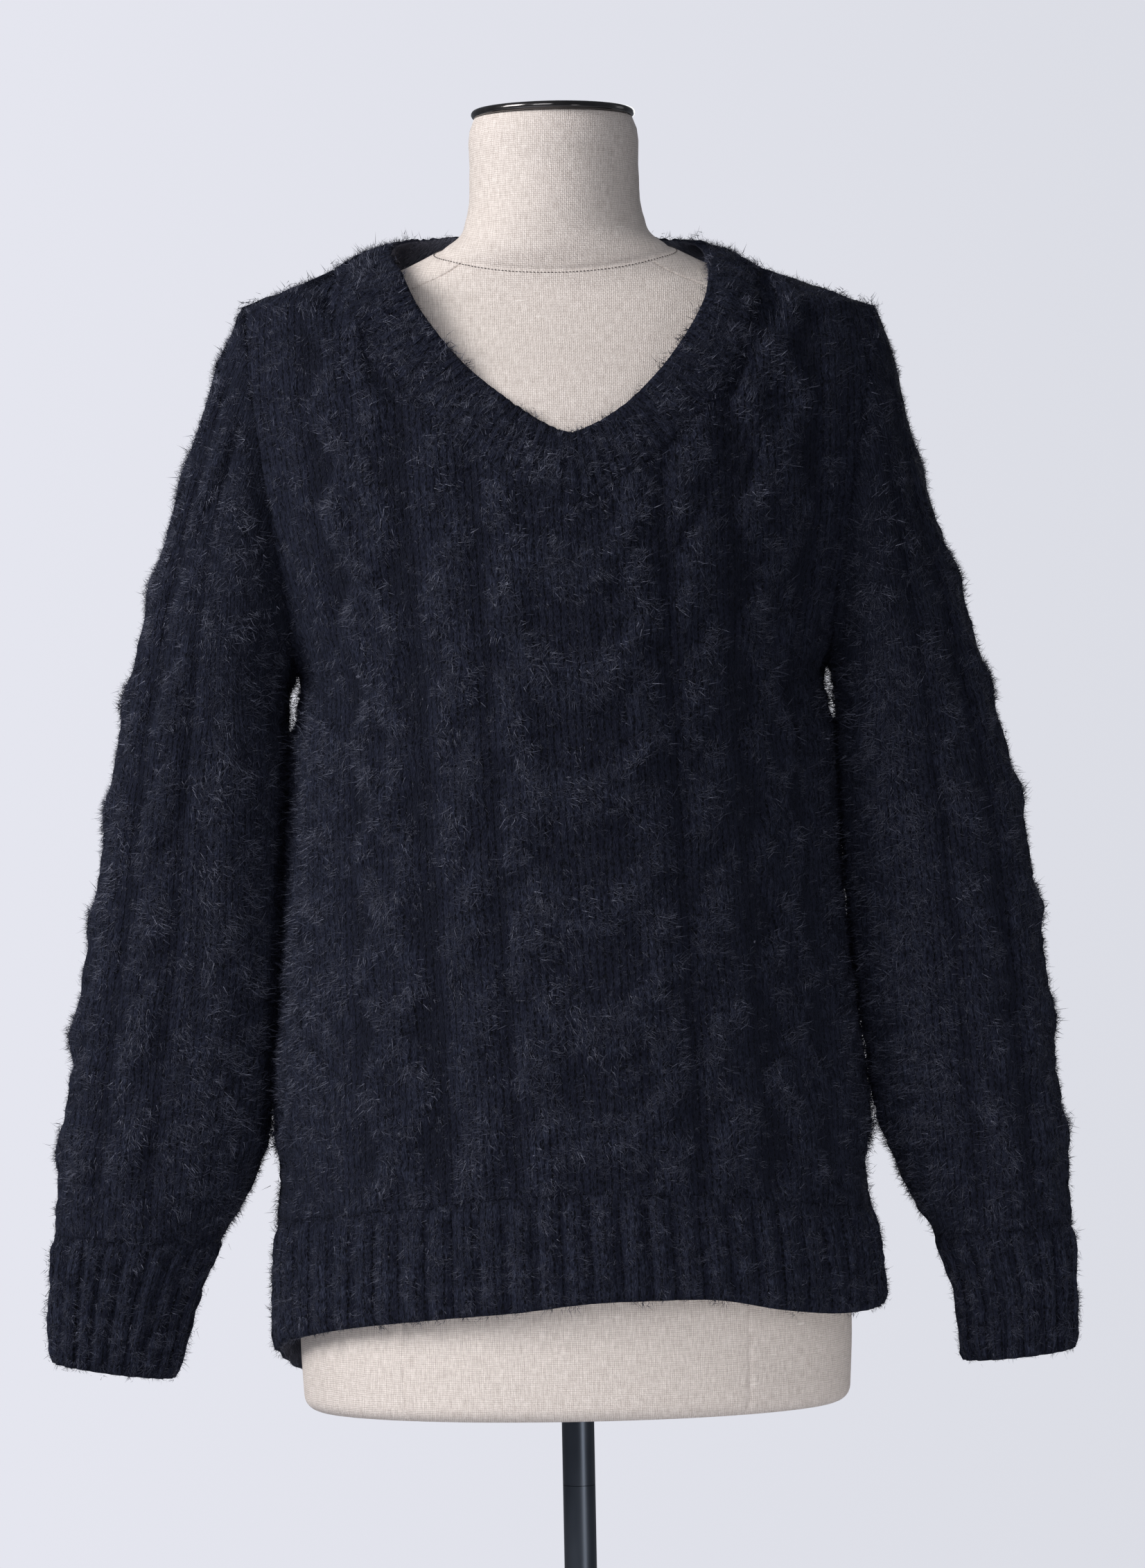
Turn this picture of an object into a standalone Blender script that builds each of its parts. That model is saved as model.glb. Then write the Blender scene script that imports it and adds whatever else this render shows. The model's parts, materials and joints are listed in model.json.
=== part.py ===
"""A cable-knit V-neck pullover with long sleeves, worn by a limbless dress form on a pole.

Units are metres, +Z is up and the garment's front faces -Y. The origin is the middle of the
base's underside. The tables below are in millimetres and MM turns them into metres. Left and
right are as seen from the front. The garment's tables give its outermost reach, the tops of its
cables: the knit's plain inside lies RELIEF + WALL further in.
"""

import bpy
import numpy as np

MM = 0.001
GAP = 0.3  # between pieces that meet at a seam, and under what rests on another piece

# The knit.
WALL = 3.0  # the ground of the knit, between its cables
RELIEF = 4.5  # how far a cable stands out of that ground
REPEAT = 66.0  # height of one repeat of every cable
RIB_PITCH = 19.5  # one raised rib and one sunk rib of the hem
CUFF_RIB_PITCH = 14.0
BAND_RIB_PITCH = 13.0
FIRST_BEND = 822.0  # height of one horseshoe's lowest point

# Where the front's pattern changes, measured along the knit from its centre line.
HORSESHOE_HALF = 53.0
ROPE_FROM = 58.0
ROPE_TO = 92.0
DIAMOND_FROM = 97.0
DIAMOND_TO = 155.0
SIDE_RIDGE = 166.0
CENTRE_LOW = 24.0  # the pattern's centre line hangs askew: its X at the height LOW ...
CENTRE_LEAN = 0.046  # ... and how far it moves to the left for each millimetre up
LOW = 515.0
RIDGE_HALF = 6.0  # half width of a single ridge
DIAMOND_STRAND_HALF = 7.0

# How the cables run, as shares of a repeat or of a panel's half width.
BEND_RISE = 0.62  # how far a horseshoe's strand climbs from its middle to its arms
BEND_STRAND = 0.24  # half width of that strand
BEND_SLANT = 0.72  # the strand's real width for each millimetre measured upwards
ARM_END = 1.3  # where its arms have sunk behind the next horseshoe
ARM_FADE = 0.35
ROPE_SLANT = 0.42  # how far up a rope's strand lies at one edge of the rope

# The same on a sleeve, from the line that faces outwards.
SLEEVE_HORSESHOE_HALF = 45.0
SLEEVE_ROPE_FROM = 51.0
SLEEVE_ROPE_TO = 79.0
SLEEVE_RIDGE = 90.0

FRONT_ROWS = 48
BACK_ROWS = 34
SLEEVE_ROWS = 32
CUFF_ROWS = 2
RIB_ROWS = 2
BAND_ROWS = 2
RIB_STEP = 5.2  # widest face across the hem's ribs
CUFF_STEP = 3.9
BAND_STEP = 4.4
FINE = 200  # samples in height from which the panels' rows are read
NECK_BLEND = 60.0  # height over which a column leans towards its end point
SHOULDER_FROM = 1000.0  # above this height the panels also face up
UNDERARM_TURN = 6.0  # how far below the armhole a panel's edge still faces the other panel
UNDERARM_SHARE = -0.97  # nearer to the armhole's lowest point than this, its edge faces down and out


def table(columns, *rows):
    """The rows as one array for each named column."""
    values = np.array(rows, float).T
    return dict(zip(columns.split(), values))


# How far the body reaches to each side, below the armholes.
SIDES = table(
    "height left right",
    (400, 181.0, 186.0),
    (462, 181.0, 186.0),
    (490, 180.0, 183.5),
    (515, 178.5, 179.5),
    (573, 175.0, 175.0),
    (635, 171.0, 168.0),
    (703, 165.5, 160.5),
    (772, 159.0, 157.5),
    (831, 156.5, 155.0),
)

# How far it reaches forwards and backwards on its middle line.
DEPTHS = table(
    "height front back",
    (400, 124.0, 121.0),
    (490, 125.0, 120.0),
    (573, 123.0, 118.0),
    (635, 122.0, 115.0),
    (703, 122.0, 111.0),
    (772, 126.0, 108.0),
    (830, 130.0, 107.0),
    (870, 129.0, 106.0),
    (943, 116.0, 101.0),
    (1000, 97.0, 89.0),
    (1044, 78.0, 74.0),
    (1062, 69.0, 67.0),
    (1082, 60.0, 59.0),
)

# The hem's lower edge and the line where its rib begins, all the way round. An angle of 0 faces
# forwards and 90 faces right. The hem hangs lowest at the back on the left.
HEM = table(
    "angle edge rib_top",
    (-180, 425, 500),
    (-135, 415, 498),
    (-110, 424, 504),
    (-90, 439, 510),
    (-65, 448, 517),
    (-35, 459, 525),
    (-17, 465, 529),
    (5, 474, 531),
    (18, 474, 531),
    (37, 467, 528),
    (52, 458, 524),
    (65, 452, 519),
    (90, 455, 514),
    (120, 450, 510),
    (150, 437, 505),
    (180, 425, 500),
)

# One row for each armhole: the shoulder's tip, the underarm, and the loop's reach to front and back.
ARMHOLES = table(
    "side tip_x tip_z under_x under_z front back",
    (-1, 187.0, 1055.5, 156.5, 831.0, 58.0, 66.0),
    (1, 189.0, 1049.5, 155.0, 831.0, 58.0, 66.0),
)

# Where the shoulder seam meets the neckband.
NECK_CORNERS = table("side x z", (-1, 130.0, 1078.0), (1, 117.0, 1076.0))

# The neckband's two edges, from the point of the V up the right, round the back and down the left.
NECKBAND = table(
    "in_x in_y in_z out_x out_y out_z",
    (7.5, -108, 969.0, 7.5, -120, 926),
    (25, -104.5, 977.0, 38, -113.5, 945),
    (43, -99, 989.5, 66, -103.5, 966),
    (63, -88.5, 1010.5, 90, -91, 991),
    (81, -74, 1037.0, 107, -75, 1021),
    (90, -58, 1061.0, 115, -58, 1052),
    (88, 0, 1086.0, 117, 0, 1076),
    (66, 41, 1092.0, 92, 48, 1066),
    (33, 55, 1094.0, 45, 63, 1061),
    (-6, 58, 1094.5, -6, 67, 1059),
    (-45, 53, 1094.5, -58, 62, 1061),
    (-79, 36, 1094.0, -107, 45, 1068),
    (-98, 0, 1089.0, -130, 0, 1078),
    (-91, -52, 1070.0, -123, -54, 1056),
    (-79, -71, 1044.0, -109, -73, 1025),
    (-56, -88, 1013.5, -83, -92.5, 990),
    (-29, -99.5, 990.0, -48, -107.5, 961),
    (-8, -106, 975.5, -17, -117, 938),
    (7.5, -108, 969.0, 7.5, -120, 926),
)
RIGHT_SHOULDER_STATION = 6
LEFT_SHOULDER_STATION = 12
NECK_MIDDLE = (-6.0, 0.0, 960.0)  # a point inside the garment, behind the V

# Each sleeve's sections, from the armhole down: the outer end and the inner end of the oval, and
# its half depth to front and back. The last row but one is where the cuff's rib begins.
SLEEVES = {
    "left": table(
        "out_x out_z in_x in_z front back",
        (-187.0, 1055.5, -156.5, 831.0, 58, 66),
        (-204.0, 1013.0, -159.5, 827.0, 62, 69),
        (-216.0, 980.0, -161.5, 822.0, 62, 68),
        (-228.0, 943.0, -163.0, 811.0, 60, 66),
        (-241.0, 903.0, -165.0, 795.0, 57, 63),
        (-254.0, 855.0, -167.0, 770.0, 53, 59),
        (-268.0, 795.0, -169.0, 725.0, 49, 55),
        (-283.0, 703.0, -170.5, 660.0, 46, 52),
        (-295.0, 634.0, -174.5, 615.0, 44, 50),
        (-302.0, 578.0, -178.5, 575.0, 43, 48),
        (-306.0, 548.0, -182.5, 545.0, 42, 46),
        (-310.0, 522.0, -197.5, 515.0, 39, 43),
        (-311.0, 505.0, -205.0, 500.0, 37, 40),
        (-313.5, 468.0, -220.0, 468.0, 33, 35),
        (-314.0, 431.0, -234.0, 419.0, 30, 32),
    ),
    "right": table(
        "out_x out_z in_x in_z front back",
        (189.0, 1049.5, 155.0, 831.0, 58, 66),
        (200.0, 1019.0, 158.0, 826.0, 62, 69),
        (209.0, 979.0, 159.5, 818.0, 62, 68),
        (222.0, 930.0, 161.0, 805.0, 60, 66),
        (239.0, 876.0, 163.0, 780.0, 57, 63),
        (255.0, 815.0, 164.5, 745.0, 53, 59),
        (269.0, 760.0, 166.0, 706.0, 49, 54),
        (280.5, 685.0, 170.0, 655.0, 46, 51),
        (287.0, 625.0, 175.5, 610.0, 44, 49),
        (291.5, 578.0, 180.0, 572.0, 43, 47),
        (294.5, 545.0, 188.0, 540.0, 41, 45),
        (297.0, 518.0, 201.0, 512.0, 38, 42),
        (298.0, 502.0, 209.0, 497.0, 36, 39),
        (298.5, 465.0, 221.5, 463.0, 32, 34),
        (298.5, 428.0, 225.0, 421.0, 29, 31),
    ),
}
CUFF_SECTION = 12  # row at which the cuff begins

# The dress form, from its flat bottom to its neck: half width, reach to front and back, and how
# full each section is (2 is an ellipse, less is more pointed at the shoulders).
FORM = table(
    "height half_width front back fullness",
    (400.0, 161.0, 105.0, 106.0, 2.1),
    (450.0, 163.0, 107.0, 107.0, 2.1),
    (520.0, 157.0, 105.0, 103.0, 2.0),
    (600.0, 143.0, 99.0, 96.0, 2.0),
    (700.0, 120.0, 92.0, 84.0, 2.0),
    (770.0, 130.0, 103.0, 88.0, 2.0),
    (830.0, 143.0, 117.0, 92.0, 2.0),
    (870.0, 149.0, 117.0, 92.0, 2.0),
    (943.0, 158.0, 103.0, 86.0, 1.9),
    (1000.0, 170.0, 85.0, 71.0, 1.6),
    (1030.0, 174.0, 61.0, 54.0, 1.2),
    (1044.0, 171.0, 52.0, 48.0, 1.1),
    (1055.8, 148.0, 46.0, 44.0, 1.1),
    (1067.0, 106.0, 45.0, 44.0, 1.35),
    (1080.0, 75.0, 48.0, 45.0, 1.75),
    (1090.0, 58.0, 48.5, 46.0, 2.0),
    (1102.0, 52.5, 49.0, 47.0, 2.0),
    (1130.0, 50.0, 47.5, 46.5, 2.0),
    (1158.0, 48.0, 46.0, 45.5, 2.0),
)
FORM_SIDES = 28
FORM_ROWS = 11
SHOULDER_HEIGHTS = [1022, 1036, 1044, 1055.8, 1067, 1080, 1090, 1102, 1130, 1158]

CAP_RADIUS = 47.0
CAP_HEIGHT = 5.0
CAP_CROWN = 3.0
RIM_RADIUS = 48.6
RIM_TUBE = 2.4

POLE_RADIUS = 9.6
POLE_JOINT = 352.0  # height where the form's own tube meets the stand's
BASE_RADIUS = 170.0
BASE_HEIGHT = 16.0
BASE_EDGE = 6.0
COLLAR_RADIUS = 21.0
COLLAR_HEIGHT = 26.0
ROUND_SIDES = 32
POLE_SIDES = 24

# Colour, roughness and metallic value.
MATERIALS = {
    "knit": ((0.012, 0.014, 0.023), 0.95, 0.0),
    "linen": ((0.52, 0.46, 0.38), 0.9, 0.0),
    "dark_chrome": ((0.10, 0.10, 0.11), 0.18, 1.0),
    "dark_steel": ((0.035, 0.038, 0.05), 0.32, 0.9),
    "base_steel": ((0.03, 0.032, 0.04), 0.45, 0.8),
}


def clear_scene():
    for thing in list(bpy.data.objects):
        bpy.data.objects.remove(thing, do_unlink=True)


def make_material(name):
    colour, roughness, metallic = MATERIALS[name]
    material = bpy.data.materials.new(name)
    material.use_nodes = True
    shader = material.node_tree.nodes["Principled BSDF"]
    shader.inputs["Base Color"].default_value = (*colour, 1)
    shader.inputs["Roughness"].default_value = roughness
    shader.inputs["Metallic"].default_value = metallic
    return material


def add_mesh(name, points, faces, material, sharp=40):
    """One named object from points in millimetres."""
    mesh = bpy.data.meshes.new(name)
    mesh.from_pydata((np.asarray(points) * MM).tolist(), [], faces)
    mesh.shade_smooth()
    mesh.set_sharp_from_angle(angle=np.radians(sharp))
    mesh.materials.append(make_material(material))
    thing = bpy.data.objects.new(name, mesh)
    bpy.context.scene.collection.objects.link(thing)
    return thing


def smooth(xs, ys, at):
    """A smooth curve through the points (xs, ys), read at the places given."""
    at = np.clip(at, xs[0], xs[-1])
    slopes = np.gradient(ys, xs)
    i = np.clip(np.searchsorted(xs, at) - 1, 0, len(xs) - 2)
    step = xs[i + 1] - xs[i]
    t = (at - xs[i]) / step
    rise = ys[i + 1] - ys[i]
    bend = (slopes[i] + slopes[i + 1]) * step - 2 * rise
    curve = 3 * rise - (2 * slopes[i] + slopes[i + 1]) * step
    return ys[i] + t * (slopes[i] * step + t * (curve + t * bend))


def lengths_along(points):
    """How far along a line of points each one lies."""
    steps = np.linalg.norm(np.diff(points, axis=0), axis=1)
    return np.concatenate([[0.0], np.cumsum(steps)])


def unit(vectors):
    return vectors / np.maximum(np.linalg.norm(vectors, axis=-1, keepdims=True), 1e-9)


# ---- The knit's relief: 0 is the ground between the cables, 1 is the top of a cable. ----


def strand(distance, half_width):
    """A round strand, by the distance from its middle."""
    return np.sqrt(np.clip(1 - (distance / half_width) ** 2, 0, 1))


def horseshoes(across, height, half_width):
    """U-shaped strands, one above the other, whose arms rise beside the next one's bend."""
    width = half_width * BEND_STRAND
    reach = half_width - width
    relief = 0.28 * strand(across, half_width)
    share = np.clip(np.abs(across) / reach, 0, 1)
    rise = BEND_RISE * REPEAT * (1 - np.sqrt(1 - share**2))
    for turn in (0, 1):
        above = (height - FIRST_BEND) % REPEAT + turn * REPEAT
        beside = np.abs(np.abs(across) - reach)
        distance = np.where(above > BEND_RISE * REPEAT, beside, np.abs(above - rise) * BEND_SLANT)
        fade = np.clip((ARM_END * REPEAT - above) / (ARM_FADE * REPEAT), 0, 1)
        relief = np.maximum(relief, strand(distance, width) * fade**0.5)
    below = (FIRST_BEND - height) % REPEAT
    return np.maximum(relief, strand((below + rise) * BEND_SLANT, width))


def rope(across, height, half_width, hand):
    """Two strands laid round each other, which cross once in each repeat."""
    turn = (height - FIRST_BEND) / REPEAT - hand * ROPE_SLANT * across / half_width
    lay = np.abs(np.cos(np.pi * turn))
    return strand(across, half_width) * (0.3 + 0.7 * lay**0.7)


def diamonds(across, height, half_width):
    """Two narrow strands that part and meet again, round a raised middle."""
    width = DIAMOND_STRAND_HALF
    reach = half_width - width
    turn = ((height - FIRST_BEND) / REPEAT) % 1.0
    middle = reach * (1 - np.abs(2 * turn - 1))
    relief = np.maximum(strand(across - middle, width), strand(across + middle, width))
    return np.maximum(0.85 * relief, 0.25 * (np.abs(across) < middle))


def body_relief(across, height):
    """The relief of the front and the back. across runs along the knit from the centre line."""
    away = np.abs(across)
    hand = np.sign(across)
    rope_half = (ROPE_TO - ROPE_FROM) / 2
    diamond_half = (DIAMOND_TO - DIAMOND_FROM) / 2
    relief = np.where(away < HORSESHOE_HALF, horseshoes(across, height, HORSESHOE_HALF), 0.0)
    relief = np.maximum(relief, rope(away - ROPE_FROM - rope_half, height, rope_half, hand))
    inside = (away > DIAMOND_FROM) & (away < DIAMOND_TO)
    middle = DIAMOND_FROM + diamond_half
    relief = np.maximum(relief, inside * diamonds(away - middle, height, diamond_half))
    relief = np.maximum(relief, 0.7 * strand(away - SIDE_RIDGE, RIDGE_HALF))
    return np.maximum(relief, 0.4 * np.clip((away - SIDE_RIDGE) / (2 * RIDGE_HALF), 0, 1))


def sleeve_relief(across, height):
    away = np.abs(across)
    rope_half = (SLEEVE_ROPE_TO - SLEEVE_ROPE_FROM) / 2
    panel = horseshoes(across, height, SLEEVE_HORSESHOE_HALF)
    relief = np.where(away < SLEEVE_HORSESHOE_HALF, panel, 0.0)
    middle = SLEEVE_ROPE_FROM + rope_half
    relief = np.maximum(relief, rope(away - middle, height, rope_half, np.sign(across)))
    relief = np.maximum(relief, 0.7 * strand(away - SLEEVE_RIDGE, RIDGE_HALF))
    return np.maximum(relief, 0.35 * np.clip((away - SLEEVE_RIDGE) / (2 * RIDGE_HALF), 0, 1))


def rib_relief(along, pitch):
    """Raised ribs with narrower sunk ones between them."""
    wave = 0.5 + 0.5 * np.cos(2 * np.pi * along / pitch)
    return 0.85 * wave**0.7


# ---- Walls: a fine outer face, a plainer inner face, and rims between them. ----


def coarse_marks(count, step):
    """Every step-th index up to count, and always the last."""
    return list(range(0, count, step)) + [count]


def shoulder_marks(count):
    """Rows of a panel's plain inside: far apart below, closer where it turns over the shoulder."""
    low = list(range(0, count - 12, 6))
    return low + [count - left for left in (10, 7, 5, 3, 1, 0)]


def rim(fine, coarse, marks):
    """Faces between an outer edge and the plainer inner edge that has a point at each mark."""
    faces = []
    for j in range(len(marks) - 1):
        low, high = marks[j], marks[j + 1]
        middle = (low + high) // 2
        faces += [(fine[i + 1], fine[i], coarse[j]) for i in range(low, middle)]
        faces.append((coarse[j + 1], fine[middle], coarse[j]))
        faces += [(fine[i + 1], fine[i], coarse[j + 1]) for i in range(middle, high)]
    return faces


def wall(name, outer, inner, material, row_marks, column_marks, ring=False):
    """A closed wall from two grids of the same size, rows by columns. The inner one keeps only its marks."""
    rows, columns = outer.shape[0] - 1, outer.shape[1] - 1
    plain = inner[np.ix_(row_marks, column_marks)]
    if ring:
        outer = outer[:, :-1]
        plain = plain[:, :-1]
    across, plain_across = outer.shape[1], plain.shape[1]
    start = outer.shape[0] * across

    def out(i, j):
        return i * across + j % across

    def into(i, j):
        return start + i * plain_across + j % plain_across

    faces = []
    for i in range(rows):
        for j in range(columns):
            faces.append((out(i, j), out(i, j + 1), out(i + 1, j + 1), out(i + 1, j)))
    for i in range(len(row_marks) - 1):
        for j in range(len(column_marks) - 1):
            faces.append((into(i, j), into(i + 1, j), into(i + 1, j + 1), into(i, j + 1)))
    last, plain_last = rows, len(row_marks) - 1
    bottom = [out(0, j) for j in range(columns + 1)]
    plain_bottom = [into(0, j) for j in range(len(column_marks))]
    faces += rim(bottom, plain_bottom, column_marks)
    top = [out(last, j) for j in range(columns + 1)]
    plain_top = [into(plain_last, j) for j in range(len(column_marks))]
    faces += [face[::-1] for face in rim(top, plain_top, column_marks)]
    if not ring:
        left = [out(i, 0) for i in range(rows + 1)]
        plain_left = [into(i, 0) for i in range(len(row_marks))]
        faces += [face[::-1] for face in rim(left, plain_left, row_marks)]
        right = [out(i, columns) for i in range(rows + 1)]
        plain_right = [into(i, plain_across - 1) for i in range(len(row_marks))]
        faces += rim(right, plain_right, row_marks)
    points = np.concatenate([outer.reshape(-1, 3), plain.reshape(-1, 3)])
    signed = np.einsum("ij,ij->", *face_areas(points, faces))
    if signed < 0:
        faces = [face[::-1] for face in faces]
    return add_mesh(name, points, faces, material, sharp=60)


def face_areas(points, faces):
    """Each triangle's first corner and its area vector: their products add up to the volume."""
    triangles = [(f[0], f[k], f[k + 1]) for f in faces for k in range(1, len(f) - 1)]
    corners = points[np.array(triangles)]
    return corners[:, 0], np.cross(corners[:, 1] - corners[:, 0], corners[:, 2] - corners[:, 0])


def layered(reach, normals, relief):
    """The outer and inner points of a wall, from its outermost reach."""
    return reach - (RELIEF * (1 - relief))[..., None] * normals, reach - (RELIEF + WALL) * normals


def grid_normals(points, outwards):
    """Normals of a grid of points, on the side that outwards points to."""
    normals = unit(np.cross(np.gradient(points, axis=1), np.gradient(points, axis=0)))
    turned = np.sum(normals * outwards, axis=-1, keepdims=True) < 0
    return np.where(turned, -normals, normals)


# ---- The body's surface, as sections one above the other. ----


def armhole(half):
    """The armhole's row for the left (-1) or the right (1)."""
    return {key: values[0 if half < 0 else 1] for key, values in ARMHOLES.items()}


def shoulder_slope(half):
    """How far the shoulder seam falls for each millimetre outwards."""
    hole = armhole(half)
    corner = 0 if half < 0 else 1
    run = hole["tip_x"] - NECK_CORNERS["x"][corner]
    return (NECK_CORNERS["z"][corner] - hole["tip_z"]) / run


def edge_at(half, side, height):
    """Where one half of a panel ends at this height, and how far from the side seam's plane."""
    hole = armhole(half)
    if height <= hole["under_z"]:
        return smooth(SIDES["height"], SIDES["left" if half < 0 else "right"], height), 0.0
    if height >= hole["tip_z"]:
        return hole["tip_x"] - (height - hole["tip_z"]) / shoulder_slope(half), 0.0
    share = (height - hole["under_z"]) / (hole["tip_z"] - hole["under_z"])
    reach = hole["front"] if side < 0 else hole["back"]
    out = hole["under_x"] + share * (hole["tip_x"] - hole["under_x"])
    return out, reach * np.sqrt(1 - (2 * share - 1) ** 2)


def section(side, height, samples=36):
    """One panel's section: its X and Y from the left edge to the right edge."""
    depth = smooth(DEPTHS["height"], DEPTHS["front" if side < 0 else "back"], height)
    halves = []
    for half in (-1, 1):
        out, in_front = edge_at(half, side, height)
        width = out / np.sqrt(1 - (in_front / depth) ** 2)
        angles = np.linspace(0, np.arcsin(min(out / width, 1)), samples)
        halves.append(np.stack([half * width * np.sin(angles), side * depth * np.cos(angles)], 1))
    return np.concatenate([halves[0][:0:-1], halves[1]])


def centre_line(height):
    """X of the middle of the pattern."""
    return CENTRE_LOW - CENTRE_LEAN * (height - LOW)


def hem_at(angle, column):
    return smooth(HEM["angle"], HEM[column], angle)


def facing(point):
    """The angle that a point of the body faces, as HEM counts it."""
    return np.degrees(np.arctan2(point[0], -point[1]))


def pattern_columns(finer):
    """Distances from the centre line at which a panel has a column of points."""
    if finer:
        return [0, 12, 24, 36, 47, 55.5, 60, 67.5, 75, 82.5, 90, 94.5, 101, 113, 126, 139, 151, 157]
    return [0, 14, 28, 42, 53, 61, 75, 89, 94.5, 110, 126, 142, 157]


class Panel:
    """The front (side -1) or the back (side 1), from the rib up to the shoulders and neck."""

    def __init__(self, neckline, side, rows, finer):
        self.neckline = neckline
        self.side = side
        self.rows = rows
        half = pattern_columns(finer)
        shares = (0.33, 0.67, 1.0)
        self.places = [(0.0, 0.0)] + [(d, 0.0) for d in half[1:]] + [(half[-1], s) for s in shares]
        self.places = [(-d, s) for d, s in self.places[:0:-1]] + self.places
        self.halves = [-1] * (len(self.places) // 2) + [1] * (len(self.places) // 2 + 1)
        self.lay_sections()
        self.lay_columns()

    def lay_sections(self):
        heights = np.linspace(480, 1082, FINE)
        self.heights = heights
        self.sections = [section(self.side, height) for height in heights]
        self.across = []
        for height, points in zip(heights, self.sections):
            along = lengths_along(points)
            middle = np.interp(centre_line(height), points[:, 0], along)
            self.across.append(along - middle)

    def at(self, index, across):
        """The point of one section that lies this far from the centre line."""
        points, along = self.sections[index], self.across[index]
        x = np.interp(across, along, points[:, 0])
        y = np.interp(across, along, points[:, 1])
        return np.array([x, y, self.heights[index]])

    def target(self, index, column):
        """How far from the centre line this column lies in one section."""
        (place, share), half = self.places[column], self.halves[column]
        if share == 0:
            return place
        tip = armhole(half)["tip_z"]
        held = min(index, np.searchsorted(self.heights, tip) - 1)
        end = self.across[held][0 if half < 0 else -1]
        return place + share * (end - place)

    def top_at(self, x, half):
        """The panel's upper edge: the shoulder seam, or the neckband's outer edge."""
        corner = 0 if half < 0 else 1
        hole = armhole(half)
        if half * x >= NECK_CORNERS["x"][corner]:
            z = hole["tip_z"] + (hole["tip_x"] - half * x) * shoulder_slope(half)
            return np.array([x, 0.0, z])
        return self.neckline.edge(x, self.side)

    def column_path(self, column):
        """The column's points on the sections, from the rib's top to the panel's edge."""
        half = self.halves[column]
        path = []
        for index, height in enumerate(self.heights):
            across = self.target(index, column)
            ends = self.across[index][[0, -1]]
            if across < ends[0] - 1e-6 or across > ends[1] + 1e-6:
                break
            point = self.at(index, across)
            if height > self.top_at(point[0], half)[2]:
                break
            path.append(point)
        path = np.array(path)
        start = hem_at(facing(path[0]), "rib_top")
        low = np.array([np.interp(start, path[:, 2], path[:, k]) for k in range(3)])
        return np.concatenate([[low], path[path[:, 2] > start + 2]])

    def lay_columns(self):
        paths = [self.column_path(column) for column in range(len(self.places))]
        tops = np.array([self.top_at(path[-1][0], half) for path, half in zip(paths, self.halves)])
        # The columns nearest to the corners of the neck and to the point of the V end on them.
        corners = []
        for corner, half in ((0, -1), (1, 1)):
            x = half * NECK_CORNERS["x"][corner]
            nearest = 2 * int(np.argmin(np.abs(tops[::2, 0] - x)))
            tops[nearest] = (x, 0.0, NECK_CORNERS["z"][corner])
            corners.append(nearest)
        self.left_corner, self.right_corner = corners
        # The plain inside keeps every second column, and those next to the corners.
        self.marks = sorted({*range(0, len(tops), 2), self.left_corner + 1, self.right_corner - 1})
        self.v_point = 2 * int(np.argmin(np.abs(tops[::2, 0] - NECKBAND["out_x"][0])))
        self.ends = self.spread_ends(tops)
        for column, place in self.ends.items():
            tops[column] = self.neckline.read(self.neckline.outer, place)
        for column, half in ((0, -1), (-1, 1)):
            hole = armhole(half)
            tops[column] = (half * hole["tip_x"], 0.0, hole["tip_z"])
        grid = []
        for path, top in zip(paths, tops):
            path = self.round_over(path, top)
            along = lengths_along(path)
            even = np.linspace(0, along[-1], self.rows + 1)
            grid.append(np.stack([np.interp(even, along, path[:, k]) for k in range(3)], 1))
        self.grid = np.array(grid).transpose(1, 0, 2)
        self.set_edges()
        self.straighten_neck()

    def spread_ends(self, tops):
        """The place on the neckline, in stations, at which each column between the corners ends."""
        arms = [(self.left_corner, self.right_corner, LEFT_SHOULDER_STATION, RIGHT_SHOULDER_STATION)]
        if self.side < 0:
            last = len(NECKBAND["in_x"]) - 1
            arms = [
                (self.left_corner, self.v_point, LEFT_SHOULDER_STATION, last),
                (self.v_point, self.right_corner, 0, RIGHT_SHOULDER_STATION),
            ]
        ends = {}
        for start, stop, low, high in arms:
            for column in range(start, stop + 1):
                even = low + (high - low) * (column - start) / (stop - start)
                above = self.neckline.station(tops[column, 0], self.side)
                ends[column] = even if column in (start, stop) else (even + above) / 2
        return ends

    def round_over(self, path, top):
        """Leads the column's last stretch into its end point."""
        blend = np.clip((path[:, 2] - (path[-1, 2] - NECK_BLEND)) / NECK_BLEND, 0, 1) ** 2
        path = path + blend[:, None] * (top - path[-1])
        if abs(top[1]) > 1:
            return path
        # On the shoulder the column turns over in a quarter of an oval.
        path = path[:-1]
        turns = np.linspace(0.25, 1, 4) * np.pi / 2
        step = top - path[-1]
        shares = np.stack([np.sin(turns)] * 3, 1)
        if step[2] < 0:
            shares[:, 2] = 1 - np.cos(turns)
        return np.concatenate([path, path[-1] + shares * step])

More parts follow.
